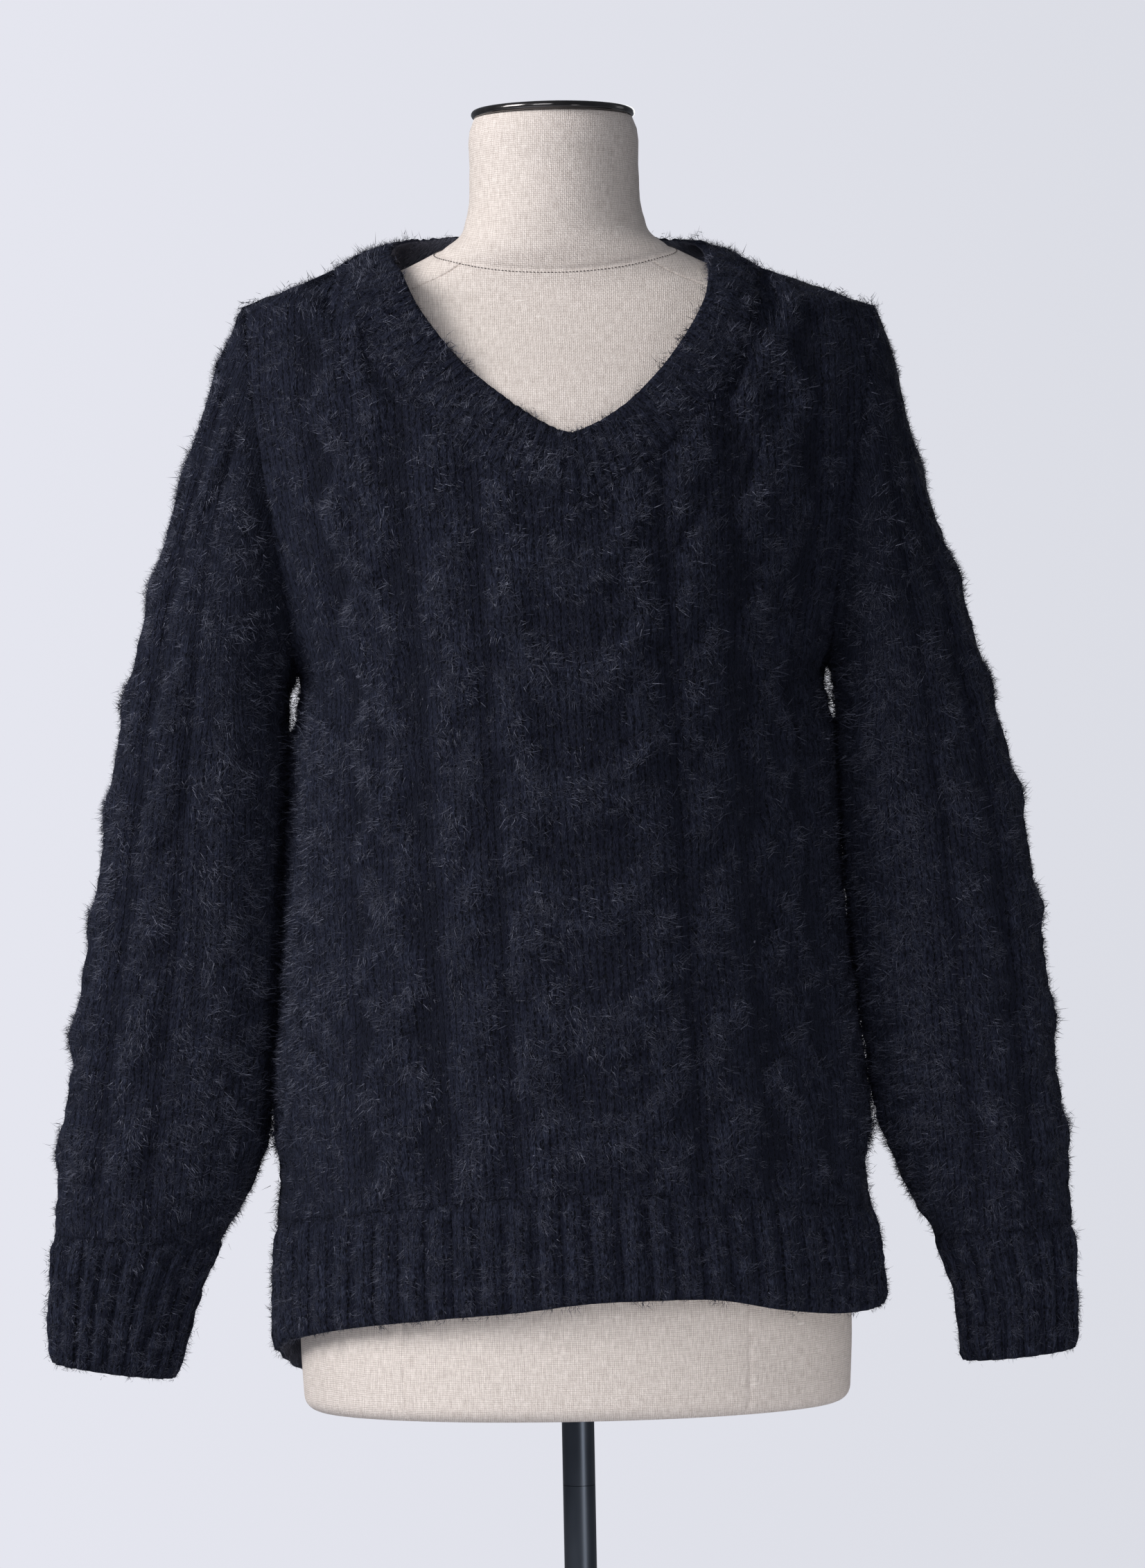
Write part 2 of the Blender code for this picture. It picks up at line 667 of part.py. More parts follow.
    def set_edges(self):
        """Keeps the edges apart from the next piece, and turns their walls square to the seams."""
        grid, side = self.grid, self.side
        grid[..., 1] = side * np.maximum(side * grid[..., 1], GAP / 2)
        outwards = grid * (0.4, 1, 0)
        outwards[..., 2] = 20.0 * (grid[..., 2] > SHOULDER_FROM)
        normals = grid_normals(grid, outwards)
        for column, half in ((0, -1), (-1, 1)):
            hole = armhole(half)
            low = np.array([half * hole["under_x"], 0, hole["under_z"]])
            up = np.array([half * hole["tip_x"], 0, hole["tip_z"]]) - low
            rise = np.linalg.norm(up)
            for row in range(self.rows + 1):
                point = grid[row, column]
                if point[2] < hole["under_z"] - UNDERARM_TURN:
                    normals[row, column] = (half, 0, 0)
                    continue
                turn = np.clip(2 * (point - low) @ up / rise**2 - 1, -1, 1)
                reach = hole["front"] if side < 0 else hole["back"]
                level = up / rise * turn * 2 / rise
                outward = np.array([0, side, 0]) * np.sqrt(1 - turn**2) / reach
                normals[row, column] = unit(level + outward)
                if turn < UNDERARM_SHARE:
                    normals[row, column] = unit(np.array([half, 0, -1.0]))
                share = (point[2] - low[2]) / (up[2])
                grid[row, column, 0] = low[0] + share * up[0] - half * GAP / 2
        for column in range(grid.shape[1]):
            half = self.halves[column]
            if self.left_corner < column < self.right_corner:
                grid[-1, column], normals[-1, column] = self.neckline.seam(self.ends[column])
            elif column not in (0, grid.shape[1] - 1):
                normals[-1, column] = unit(np.array([half * shoulder_slope(half), 0, 1.0]))
        for column in (self.left_corner, self.right_corner):
            _, normal = self.neckline.seam(self.ends[column])
            normals[-1, column] = unit(normal * (1, 0, 1))
        self.normals = normals

    def straighten_neck(self):
        """Puts the ends that the plain inside leaves out halfway between their neighbours'."""
        left_out = set(range(self.left_corner, self.right_corner)) - set(self.marks)
        for values in (self.grid[-1], self.normals[-1]):
            for column in left_out:
                values[column] = (values[column - 1] + values[column + 1]) / 2

    def build(self, name):
        """The panel's wall, with its pattern raised."""
        across = np.array(
            [
                [self.measure(self.grid[row, column]) for column in range(self.grid.shape[1])]
                for row in range(self.rows + 1)
            ]
        )
        relief = body_relief(across, self.grid[..., 2])
        outer, inner = layered(self.grid, self.normals, relief)
        return wall(name, outer, inner, "knit", shoulder_marks(self.rows), self.marks)

    def measure(self, point):
        """How far from the centre line a point of the panel lies."""
        index = int(np.clip(np.searchsorted(self.heights, point[2]), 0, FINE - 1))
        points, along = self.sections[index], self.across[index]
        return np.interp(point[0], points[:, 0], along)


# ---- The neckband's edges. ----


class Neckline:
    """The neckband's two edges, read smoothly from its stations, with the knit's normals."""

    SAMPLES = 181

    def __init__(self):
        stations = np.arange(len(NECKBAND["in_x"]), dtype=float)
        self.at = np.linspace(0, stations[-1], self.SAMPLES)
        self.inner = np.stack([smooth(stations, NECKBAND["in_" + k], self.at) for k in "xyz"], 1)
        self.outer = np.stack([smooth(stations, NECKBAND["out_" + k], self.at) for k in "xyz"], 1)
        along = np.gradient((self.inner + self.outer) / 2, axis=0)
        normals = unit(np.cross(along, self.outer - self.inner))
        inwards = np.sum(normals * (self.outer - NECK_MIDDLE), axis=1, keepdims=True) < 0
        self.normals = np.where(inwards, -normals, normals)

    def station(self, x, side):
        """The place, in stations, at which the outer edge has this X on the front or the back."""
        if side > 0:
            low, high = RIGHT_SHOULDER_STATION, LEFT_SHOULDER_STATION
        elif x >= NECKBAND["out_x"][0]:
            low, high = 0, RIGHT_SHOULDER_STATION
        else:
            low, high = LEFT_SHOULDER_STATION, self.at[-1]
        chosen = (self.at >= low) & (self.at <= high)
        places, xs = self.at[chosen], self.outer[chosen, 0]
        if side > 0:
            return np.interp(-x, -xs, places)
        return np.interp(x, np.maximum.accumulate(xs), places)

    def read(self, values, place):
        return np.array([np.interp(place, self.at, values[:, k]) for k in range(3)])

    def edge(self, x, side):
        """The point of the outer edge at this X."""
        return self.read(self.outer, self.station(x, side))

    def lip(self, place):
        """The point of the inner edge at this place."""
        return self.read(self.inner, place)

    def seam(self, place):
        """A panel's point on the neck seam, moved off the neckband, and the knit's normal there."""
        outer = self.read(self.outer, place)
        away = unit(outer - self.lip(place))
        return outer + GAP * away, unit(self.read(self.normals, place))


def make_neckband(neckline, front, back):
    """The neckband. Its outer edge follows the same straight steps as the panels' edges."""
    nodes = []
    last = len(NECKBAND["in_x"]) - 1
    for panel, start, stop, place in (
        (front, front.v_point, front.right_corner, 0),
        (back, back.right_corner, back.left_corner, RIGHT_SHOULDER_STATION),
        (front, front.left_corner, front.v_point + 1, LEFT_SHOULDER_STATION),
    ):
        low, high = sorted((start, stop))
        columns = [column for column in panel.marks if low <= column <= high and column != stop]
        for column in columns if start < stop else columns[::-1]:
            exact = place if column == start else panel.ends[column]
            nodes.append((panel.grid[-1, column], panel.normals[-1, column], float(exact)))
    nodes[-1] = (*nodes[-1][:2], float(last))
    places = [place for _, _, place in nodes]
    edge, lip, normals = [], [], []
    for index in range(len(nodes) - 1):
        (a, na, _), (b, nb, _) = nodes[index], nodes[index + 1]
        steps = 2 * max(1, int(np.ceil(np.linalg.norm(b - a) / BAND_STEP / 2)))
        for step in range(steps):
            share = step / steps
            inner = neckline.lip(places[index] + share * (places[index + 1] - places[index]))
            outer = a + share * (b - a)
            edge.append(outer + GAP * unit(inner - outer))
            lip.append(inner)
            normals.append(unit(na + share * (nb - na)))
    edge, lip, normals = (np.array(values + [values[0]]) for values in (edge, lip, normals))
    middles = (edge + lip) / 2
    along = lengths_along(middles)
    pitch = along[-1] / round(along[-1] / BAND_RIB_PITCH)
    shares = np.linspace(0, 1, BAND_ROWS + 1)[:, None, None]
    reach = edge + shares * (lip - edge)
    lift = np.array([0.7, 1.0, 0.5])
    relief = lift[:, None] * (0.25 + 0.75 * rib_relief(along, pitch))
    outer, inner = layered(reach, np.broadcast_to(normals, reach.shape), relief)
    marks = coarse_marks(len(along) - 1, 2)
    return wall("neckband", outer, inner, "knit", [0, BAND_ROWS], marks, ring=True)


# ---- The hem. ----


def make_hem_rib(name, panel):
    """The ribbed hem below one panel. Its top edge follows the panel's lowest row."""
    top, normals = panel.grid[0], panel.normals[0]
    tops, facings = [], []
    for index in range(len(top) - 1):
        steps = max(1, int(np.ceil(np.linalg.norm(top[index + 1] - top[index]) / RIB_STEP)))
        for step in range(steps):
            share = step / steps
            tops.append(top[index] + share * (top[index + 1] - top[index]))
            facings.append(unit(normals[index] + share * (normals[index + 1] - normals[index])))
    tops.append(top[-1])
    facings.append(normals[-1])
    tops, facings = np.array(tops), np.array(facings)
    tops[:, 2] -= GAP
    along = lengths_along(tops)
    count = round(along[-1] / RIB_PITCH)
    rows = []
    for share in np.linspace(0, 1, RIB_ROWS + 1):
        row = []
        for point in tops:
            height = point[2] + share * (hem_at(facing(point), "edge") - point[2])
            row.append(hem_point(panel.side, point, height))
        rows.append(row)
    reach = np.array(rows)
    reach[..., 1] = panel.side * np.maximum(panel.side * reach[..., 1], GAP / 2)
    relief = 0.15 + rib_relief(along - along[-1] / 2, along[-1] / count)
    relief = np.broadcast_to(relief, reach.shape[:2]).copy()
    relief[-1] *= 0.6
    outer, inner = layered(reach, np.broadcast_to(facings, reach.shape), relief)
    marks = coarse_marks(len(along) - 1, 3)
    return wall(name, outer[::-1], inner[::-1], "knit", [0, RIB_ROWS], marks)


def hem_point(side, point, height):
    """The body's surface below a point of the rib's top edge, keeping its share of the width."""
    upper, lower = section(side, point[2]), section(side, height)
    along, below = lengths_along(upper), lengths_along(lower)
    share = np.interp(point[0], upper[:, 0], along) / along[-1]
    placed = [np.interp(share * below[-1], below, lower[:, k]) for k in range(2)]
    exact = [np.interp(share * along[-1], along, upper[:, k]) for k in range(2)]
    return np.array([placed[0] + point[0] - exact[0], placed[1] + point[1] - exact[1], height])


# ---- Sleeves and cuffs. ----


def sleeve_section(sections, place):
    """Middle, half axis and depths of the sleeve's oval at a place given in rows of its table."""
    rows = np.arange(len(sections["out_x"]), dtype=float)
    read = {key: smooth(rows, values, place) for key, values in sections.items()}
    out = np.array([read["out_x"], 0, read["out_z"]])
    inside = np.array([read["in_x"], 0, read["in_z"]])
    return (out + inside) / 2, (out - inside) / 2, read["front"], read["back"]


def oval(sections, place, angles):
    """Points and in-plane normals round the sleeve. Angle 0 faces outwards, 90 forwards."""
    middle, axis, front, back = sleeve_section(sections, place)
    depth = np.where(np.sin(angles) > 0, front, back)
    points = middle + np.cos(angles)[:, None] * axis
    points[:, 1] -= depth * np.sin(angles)
    normals = np.cos(angles)[:, None] * axis / (axis @ axis)
    normals[:, 1] -= np.sin(angles) / depth
    return points, unit(normals)


def sleeve_columns():
    return [0, 12, 24, 35, 44, 50, 65, 80, 90]


def sleeve_angles(sections, place):
    """Angles of the sleeve's columns: at the pattern's distances, then evenly to the inner end."""
    half = np.linspace(0, np.pi, 91)
    turned = []
    for way in (1, -1):
        points, _ = oval(sections, place, way * half)
        along = lengths_along(points)
        squeeze = min(1.0, along[-1] / (sleeve_columns()[-1] + 30))
        wanted = list(np.array(sleeve_columns()) * squeeze)
        rest = along[-1] - wanted[-1]
        wanted += [wanted[-1] + rest * share for share in (0.25, 0.5, 0.75, 1.0)]
        turned.append((way * np.interp(wanted, along, half), np.array(wanted)))
    (front, front_at), (back, back_at) = turned
    angles = np.concatenate([back[::-1], front[1:]])
    across = np.concatenate([-back_at[::-1], front_at[1:]])
    return angles, across


def make_sleeve(name, side):
    """A sleeve from the armhole to the cuff, set off the body by the seam's gap."""
    sections = SLEEVES[side]
    half = -1 if side == "left" else 1
    places = sleeve_places(sections)
    reach, normals, across = [], [], []
    for place in places:
        angles, distances = sleeve_angles(sections, place)
        points, facings = oval(sections, place, angles)
        points[:, 0] += half * GAP / 2
        reach.append(points)
        normals.append(facings)
        across.append(distances)
    reach, normals, across = np.array(reach), np.array(normals), np.array(across)
    relief = sleeve_relief(across, reach[..., 2])
    ease = np.clip(np.arange(len(places)) / 2.0, 0, 1)[:, None]
    relief = relief * (0.3 + 0.7 * ease)
    outer, inner = layered(reach, normals, relief)
    marks = coarse_marks(across.shape[1] - 1, 2)
    wall(name, outer, inner, "knit", coarse_marks(SLEEVE_ROWS, 3), marks, ring=True)
    return reach[-1], normals[-1]


def sleeve_places(sections):
    """Places of the sleeve's rows, evenly spaced along its outer line."""
    fine = np.linspace(0, CUFF_SECTION, 241)
    outer = np.array([sum(sleeve_section(sections, place)[:2]) for place in fine])
    along = lengths_along(outer)
    return np.interp(np.linspace(0, along[-1], SLEEVE_ROWS + 1), along, fine)


def make_cuff(name, side, top, top_normals):
    """A ribbed cuff. Its top edge follows the straight steps of the sleeve's last row."""
    sections = SLEEVES[side]
    half = -1 if side == "left" else 1
    last = len(sections["out_x"]) - 1.0
    angles, _ = sleeve_angles(sections, float(CUFF_SECTION))
    edge, facings, turns = [], [], []
    for index in range(len(top) - 1):
        steps = max(1, int(np.ceil(np.linalg.norm(top[index + 1] - top[index]) / CUFF_STEP)))
        for step in range(steps):
            share = step / steps
            edge.append(top[index] + share * (top[index + 1] - top[index]))
            facings.append(top_normals[index] + share * (top_normals[index + 1] - top_normals[index]))
            turns.append(angles[index] + share * (angles[index + 1] - angles[index]))
    edge.append(top[-1])
    facings.append(top_normals[-1])
    turns.append(angles[-1])
    edge, facings, turns = np.array(edge), unit(np.array(facings)), np.array(turns)
    along = lengths_along(edge)
    pitch = along[-1] / round(along[-1] / CUFF_RIB_PITCH)
    rows, normals = [edge - (0, 0, GAP)], [facings]
    for share in np.linspace(0, 1, CUFF_ROWS + 1)[1:]:
        points, facing_out = oval(sections, CUFF_SECTION + share * (last - CUFF_SECTION), turns)
        points[:, 0] += half * GAP / 2
        rows.append(points)
        normals.append(facing_out)
    reach, normals = np.array(rows), np.array(normals)
    relief = np.broadcast_to(0.15 + rib_relief(along, pitch), reach.shape[:2]).copy()
    relief[-1] *= 0.6
    outer, inner = layered(reach, normals, relief)
    marks = coarse_marks(len(along) - 1, 4)
    wall(name, outer, inner, "knit", [0, CUFF_ROWS], marks, ring=True)


# ---- The dress form and its stand. ----


def form_section(height):
    """One section of the dress form, counter-clockwise from the right."""
    read = {key: smooth(FORM["height"], values, height) for key, values in FORM.items()}
    angles = np.linspace(0, 2 * np.pi, FORM_SIDES, endpoint=False)
    out, forward = np.cos(angles), -np.sin(angles)
    depth = np.where(forward > 0, read["front"], read["back"])
    power = 2 / read["fullness"]
    y = -np.sign(forward) * depth * np.abs(forward) ** power
    x = read["half_width"] * out
    return np.stack([x, y, np.full(FORM_SIDES, height)], 1)


def form_heights():
    """Heights of the form's sections, closer together at the shoulders and the neck."""
    body = np.linspace(FORM["height"][0], 1000, FORM_ROWS)
    return np.concatenate([body, SHOULDER_HEIGHTS])


def make_form():
    rings = [form_section(height) for height in form_heights()]
    points = np.concatenate(rings)
    faces = []
    for ring in range(len(rings) - 1):
        for j in range(FORM_SIDES):
            a = ring * FORM_SIDES + j
            b = ring * FORM_SIDES + (j + 1) % FORM_SIDES
            faces.append((a, b, b + FORM_SIDES, a + FORM_SIDES))
    faces.append(tuple(range(FORM_SIDES))[::-1])
    faces.append(tuple(range(len(points) - FORM_SIDES, len(points))))
    add_mesh("form_torso", points, faces, "linen", sharp=50)


def turned(name, profile, material, sides=ROUND_SIDES):
    """A solid turned about the Z axis from (radius, height) points, which start and end on it."""
    points = []
    faces = []
    rings = []
    for radius, height in profile:
        if radius == 0:
            rings.append([len(points)] * sides)
            points.append((0.0, 0.0, height))
            continue
        rings.append(list(range(len(points), len(points) + sides)))
        for j in range(sides):
            angle = 2 * np.pi * j / sides
            points.append((radius * np.cos(angle), radius * np.sin(angle), height))
    for low, high in zip(rings, rings[1:]):
        for j in range(sides):
            corners = (low[j], low[(j + 1) % sides], high[(j + 1) % sides], high[j])
            face = tuple(dict.fromkeys(corners))
            if len(face) > 2:
                faces.append(face)
    return add_mesh(name, points, faces, material)


def turned_ring(name, radius, tube, height, material, sides=ROUND_SIDES, around=6):
    """A round bead."""
    points, faces = [], []
    for j in range(sides):
        angle = 2 * np.pi * j / sides
        for k in range(around):
            turn = 2 * np.pi * k / around
            out = radius + tube * np.cos(turn)
            points.append((out * np.cos(angle), out * np.sin(angle), height + tube * np.sin(turn)))
    for j in range(sides):
        for k in range(around):
            a, b = j * around + k, j * around + (k + 1) % around
            c, d = ((j + 1) % sides) * around + (k + 1) % around, ((j + 1) % sides) * around + k
            faces.append((a, d, c, b))
    return add_mesh(name, points, faces, material)


def make_stand():
    form_bottom = FORM["height"][0]
    neck_top = FORM["height"][-1]
    low = neck_top + GAP
    crown = [
        (CAP_RADIUS - 1.5 * RIM_TUBE, low + CAP_HEIGHT),
        (0.6 * CAP_RADIUS, low + CAP_HEIGHT + 0.75 * CAP_CROWN),
        (0, low + CAP_HEIGHT + CAP_CROWN),
    ]
    waist = CAP_RADIUS - 1.5 * RIM_TUBE
    turned("neck_cap", [(0, low), (waist, low)] + crown, "linen")
    turned_ring("cap_rim", waist + RIM_TUBE + GAP, RIM_TUBE, low + RIM_TUBE, "dark_chrome")
    upper = [(0, POLE_JOINT + GAP / 2), (POLE_RADIUS, POLE_JOINT + GAP / 2)]
    upper += [(POLE_RADIUS, form_bottom - GAP), (0, form_bottom - GAP)]
    turned("pole_upper", upper, "dark_steel", POLE_SIDES)
    lower = [(0, BASE_HEIGHT + GAP), (POLE_RADIUS, BASE_HEIGHT + GAP)]
    lower += [(POLE_RADIUS, POLE_JOINT - GAP / 2), (0, POLE_JOINT - GAP / 2)]
    turned("pole_lower", lower, "dark_steel", POLE_SIDES)
    base = [(0, 0), (BASE_RADIUS - 1, 0), (BASE_RADIUS, 1), (BASE_RADIUS, BASE_EDGE)]
    base += [(BASE_RADIUS - 5, BASE_EDGE + 3), (BASE_RADIUS * 0.6, BASE_EDGE + 8)]
    base += [(COLLAR_RADIUS + 4, BASE_HEIGHT), (0, BASE_HEIGHT)]
    turned("base_plate", base, "base_steel")
    make_collar()


def make_collar():
    """The collar that holds the pole upright on the base."""
    bore = POLE_RADIUS + GAP
    low = BASE_HEIGHT + GAP
    high = low + COLLAR_HEIGHT
    profile = [(bore, low), (COLLAR_RADIUS, low), (COLLAR_RADIUS, high - 3)]
    profile += [(COLLAR_RADIUS - 3, high), (bore, high), (bore, low)]
    points, faces = [], []
    sides = POLE_SIDES
    for radius, height in profile[:-1]:
        for j in range(sides):
            angle = 2 * np.pi * j / sides
            points.append((radius * np.cos(angle), radius * np.sin(angle), height))
    count = len(profile) - 1
    for k in range(count):
        for j in range(sides):
            a, b = k * sides + j, k * sides + (j + 1) % sides
            up = ((k + 1) % count) * sides
            faces.append((a, b, up + (j + 1) % sides, up + j))
    add_mesh("pole_collar", points, faces, "dark_steel")


def main():
    clear_scene()
    neckline = Neckline()
    front = Panel(neckline, -1, FRONT_ROWS, finer=True)
    back = Panel(neckline, 1, BACK_ROWS, finer=False)
    front.build("front")
    back.build("back")
    make_hem_rib("front_hem_rib", front)
    make_hem_rib("back_hem_rib", back)
    make_neckband(neckline, front, back)
    for side in ("left", "right"):
        last, normals = make_sleeve("sleeve_" + side, side)
        make_cuff("cuff_" + side, side, last, normals)
    make_form()
    make_stand()


main()
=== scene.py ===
# %% [markdown]
# # A fluffy cable-knit pullover on a dress form
#
# The real pullover is knitted in a thick brushed yarn: a dark navy core with short hairs that stand out
# of every stitch. It is worn by a linen dress form on a steel pole. Here the form of each knitted piece
# comes from a few tables of sections, its cables are raised in the mesh, its stitches are bump, and its
# hairs are real geometry. This first cell loads the fixed model that every piece is fitted to.

# %% The frame
import json

import bpy
import numpy as np
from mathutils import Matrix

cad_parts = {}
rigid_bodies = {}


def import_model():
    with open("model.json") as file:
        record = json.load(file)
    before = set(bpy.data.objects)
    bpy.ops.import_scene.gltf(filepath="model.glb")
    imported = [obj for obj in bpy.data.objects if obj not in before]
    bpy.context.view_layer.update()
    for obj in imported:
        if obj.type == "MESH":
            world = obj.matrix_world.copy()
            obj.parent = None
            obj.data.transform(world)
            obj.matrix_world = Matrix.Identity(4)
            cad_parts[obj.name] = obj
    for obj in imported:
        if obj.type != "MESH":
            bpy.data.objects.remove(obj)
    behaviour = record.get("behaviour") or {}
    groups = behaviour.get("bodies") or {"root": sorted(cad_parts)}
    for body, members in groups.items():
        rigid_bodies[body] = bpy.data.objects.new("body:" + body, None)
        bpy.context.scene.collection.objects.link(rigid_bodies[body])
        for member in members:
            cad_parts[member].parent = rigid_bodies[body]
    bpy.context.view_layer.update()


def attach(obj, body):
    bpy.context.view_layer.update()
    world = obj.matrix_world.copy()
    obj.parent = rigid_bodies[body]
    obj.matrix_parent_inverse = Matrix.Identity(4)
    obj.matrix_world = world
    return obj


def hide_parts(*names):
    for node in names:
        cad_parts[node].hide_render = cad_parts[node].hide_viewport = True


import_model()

MM = 0.001

# %% [markdown]
# ## The camera
#
# The photo was taken from straight in front with a long lens: the sides of the form don't fan out, and
# the rim of its cap is nearly a flat line. So the camera is 3.3 m away, level with the middle of the
# garment. It is turned a little about its own axis, because the form leans a little in the photo.

# %% The camera
CAMERA_DISTANCE = 3.3
CAMERA_HEIGHT = 0.7665
CAMERA_X = 0.004
FRAME_HEIGHT = 0.928  # what the photo takes in from top to bottom, at the pole
SENSOR = 36.0
ROLL = np.radians(1.1)

camera_data = bpy.data.cameras.new("camera")
camera_data.sensor_width = SENSOR
camera_data.lens = SENSOR * CAMERA_DISTANCE / FRAME_HEIGHT
camera = bpy.data.objects.new("camera", camera_data)
camera.location = (CAMERA_X, -CAMERA_DISTANCE, CAMERA_HEIGHT)
camera.rotation_euler = (np.pi / 2, ROLL, 0)
bpy.context.scene.collection.objects.link(camera)
bpy.context.scene.camera = camera
print("lens:", round(camera_data.lens, 1), "mm")

# %% [markdown]
# ## The measures of the garment
#
# A knitted piece is a surface that a few sections describe. Each table has one row for a section, in
# millimetres, and a smooth curve runs through the rows. The tables give the outermost reach, the tops
# of the cables. The plain inside of the knit lies RELIEF + WALL further in.

# %% Tables of the body
GAP = 0.3  # between pieces that meet at a seam
WALL = 3.0  # the ground of the knit, between its cables
RELIEF = 4.5  # how far a cable stands out of that ground in the solids
NAP = 1.2  # how far the knit itself lies below the tips of its hairs, which give the outline
DEEP_RELIEF = 5.2  # the relief here: between the cables the brushed knit is pressed thinner
SEAM_LEVEL = 0.42  # the height of the knit beside a seam, as a share of the relief
REPEAT = 66.0  # height of one repeat of every cable
FIRST_BEND = 822.0  # height of one horseshoe's lowest point


def table(columns, *rows):
    """The rows as one array for each named column."""
    values = np.array(rows, float).T
    return dict(zip(columns.split(), values))


# How far the body reaches to each side, below the armholes.
SIDES = table(
    "height left right",
    (400, 181.0, 186.0),
    (462, 181.0, 186.0),
    (490, 180.0, 183.5),
    (515, 178.5, 179.5),
    (573, 175.0, 175.0),
    (635, 171.0, 168.0),
    (703, 165.5, 160.5),
    (772, 159.0, 157.5),
    (831, 156.5, 155.0),
)

# How far it reaches forwards and backwards on its middle line.
DEPTHS = table(
    "height front back",
    (400, 124.0, 121.0),
    (490, 125.0, 120.0),
    (573, 123.0, 118.0),
    (635, 122.0, 115.0),
    (703, 122.0, 111.0),
    (772, 126.0, 108.0),
    (830, 130.0, 107.0),
    (870, 129.0, 106.0),
    (943, 116.0, 101.0),
    (1000, 97.0, 89.0),
    (1044, 78.0, 74.0),
    (1062, 69.0, 67.0),
    (1082, 60.0, 59.0),
)

# The hem's lower edge and the line where its rib begins, all the way round. An angle of 0 faces
# forwards and 90 faces right. The hem hangs lowest at the back on the left.
HEM = table(
    "angle edge rib_top",
    (-180, 425, 500),
    (-135, 411, 498),
    (-110, 414, 504),
    (-90, 435, 510),
    (-65, 451.5, 517),
    (-35, 461.5, 525),
    (-17, 465, 529),
    (5, 470, 531),
    (18, 470.5, 531),
    (37, 469, 528),
    (52, 461.5, 524),
    (65, 457, 519),
    (90, 457, 514),
    (120, 455, 510),
    (150, 441, 505),
    (180, 425, 500),
)

# One row for each armhole: the shoulder's tip, the underarm, and the loop's reach to front and back.
ARMHOLES = table(
    "side tip_x tip_z under_x under_z front back",
    (-1, 187.0, 1055.5, 156.5, 831.0, 58.0, 66.0),
    (1, 189.0, 1049.5, 155.0, 831.0, 58.0, 66.0),
)

# Where the shoulder seam meets the neckband.
NECK_CORNERS = table("side x z", (-1, 130.0, 1078.0), (1, 117.0, 1076.0))

# The neckband's two edges, from the point of the V up the right, round the back and down the left.
NECKBAND = table(
    "in_x in_y in_z out_x out_y out_z",
    (7.5, -108, 969.0, 7.5, -120, 926),
    (25, -104.5, 977.0, 38, -113.5, 945),
    (43, -99, 989.5, 66, -103.5, 966),
    (63, -88.5, 1010.5, 90, -91, 991),
    (81, -74, 1037.0, 107, -75, 1021),
    (90, -58, 1061.0, 115, -58, 1052),
    (88, 0, 1086.0, 117, 0, 1076),
    (66, 41, 1092.0, 92, 48, 1066),
    (33, 55, 1094.0, 45, 63, 1061),
    (-6, 58, 1094.5, -6, 67, 1059),
    (-45, 53, 1094.5, -58, 62, 1061),
    (-79, 36, 1094.0, -107, 45, 1068),
    (-98, 0, 1089.0, -130, 0, 1078),
    (-91, -52, 1070.0, -123, -54, 1056),
    (-79, -71, 1044.0, -109, -73, 1025),
    (-56, -88, 1013.5, -83, -92.5, 990),
    (-29, -99.5, 990.0, -48, -107.5, 961),
    (-8, -106, 975.5, -17, -117, 938),
    (7.5, -108, 969.0, 7.5, -120, 926),
)

# %% Tables of the sleeves
# Each sleeve's sections, from the armhole down: the outer end and the inner end of the oval, and
# its half depth to front and back. The last row but one is where the cuff's rib begins.
SLEEVES = {
    "left": table(
        "out_x out_z in_x in_z front back",
        (-187.0, 1055.5, -156.5, 831.0, 58, 66),
        (-204.0, 1013.0, -159.5, 827.0, 62, 69),
        (-216.0, 980.0, -161.5, 822.0, 62, 68),
        (-228.0, 943.0, -163.0, 811.0, 60, 66),
        (-241.0, 903.0, -165.0, 795.0, 57, 63),
        (-254.0, 855.0, -167.0, 770.0, 53, 59),
        (-268.0, 795.0, -169.0, 725.0, 49, 55),
        (-283.0, 703.0, -170.5, 660.0, 46, 52),
        (-295.0, 634.0, -174.5, 615.0, 44, 50),
        (-302.0, 578.0, -178.5, 575.0, 43, 48),
        (-306.0, 548.0, -182.5, 545.0, 42, 46),
        (-310.0, 522.0, -197.5, 515.0, 39, 43),
        (-311.0, 505.0, -205.0, 500.0, 37, 40),
        (-313.5, 468.0, -220.0, 468.0, 33, 35),
        (-314.0, 431.0, -234.0, 419.0, 30, 32),
    ),
    "right": table(
        "out_x out_z in_x in_z front back",
        (189.0, 1049.5, 155.0, 831.0, 58, 66),
        (200.0, 1019.0, 158.0, 826.0, 62, 69),
        (209.0, 979.0, 159.5, 818.0, 62, 68),
        (222.0, 930.0, 161.0, 805.0, 60, 66),
        (239.0, 876.0, 163.0, 780.0, 57, 63),
        (255.0, 815.0, 164.5, 745.0, 53, 59),
        (269.0, 760.0, 166.0, 706.0, 49, 54),
        (280.5, 685.0, 170.0, 655.0, 46, 51),
        (287.0, 625.0, 175.5, 610.0, 44, 49),
        (291.5, 578.0, 180.0, 572.0, 43, 47),
        (294.5, 545.0, 188.0, 540.0, 41, 45),
        (297.0, 518.0, 201.0, 512.0, 38, 42),
        (298.0, 502.0, 209.0, 497.0, 36, 39),
        (298.5, 465.0, 221.5, 463.0, 32, 34),
        (298.5, 428.0, 225.0, 421.0, 29, 31),
    ),
}

# %% [markdown]
# ## Curves through the tables
#
# A table's rows are joined by a smooth curve, so that a piece may have as many rows of points as it
# needs. These small helpers do that, and measure lengths along a line of points.

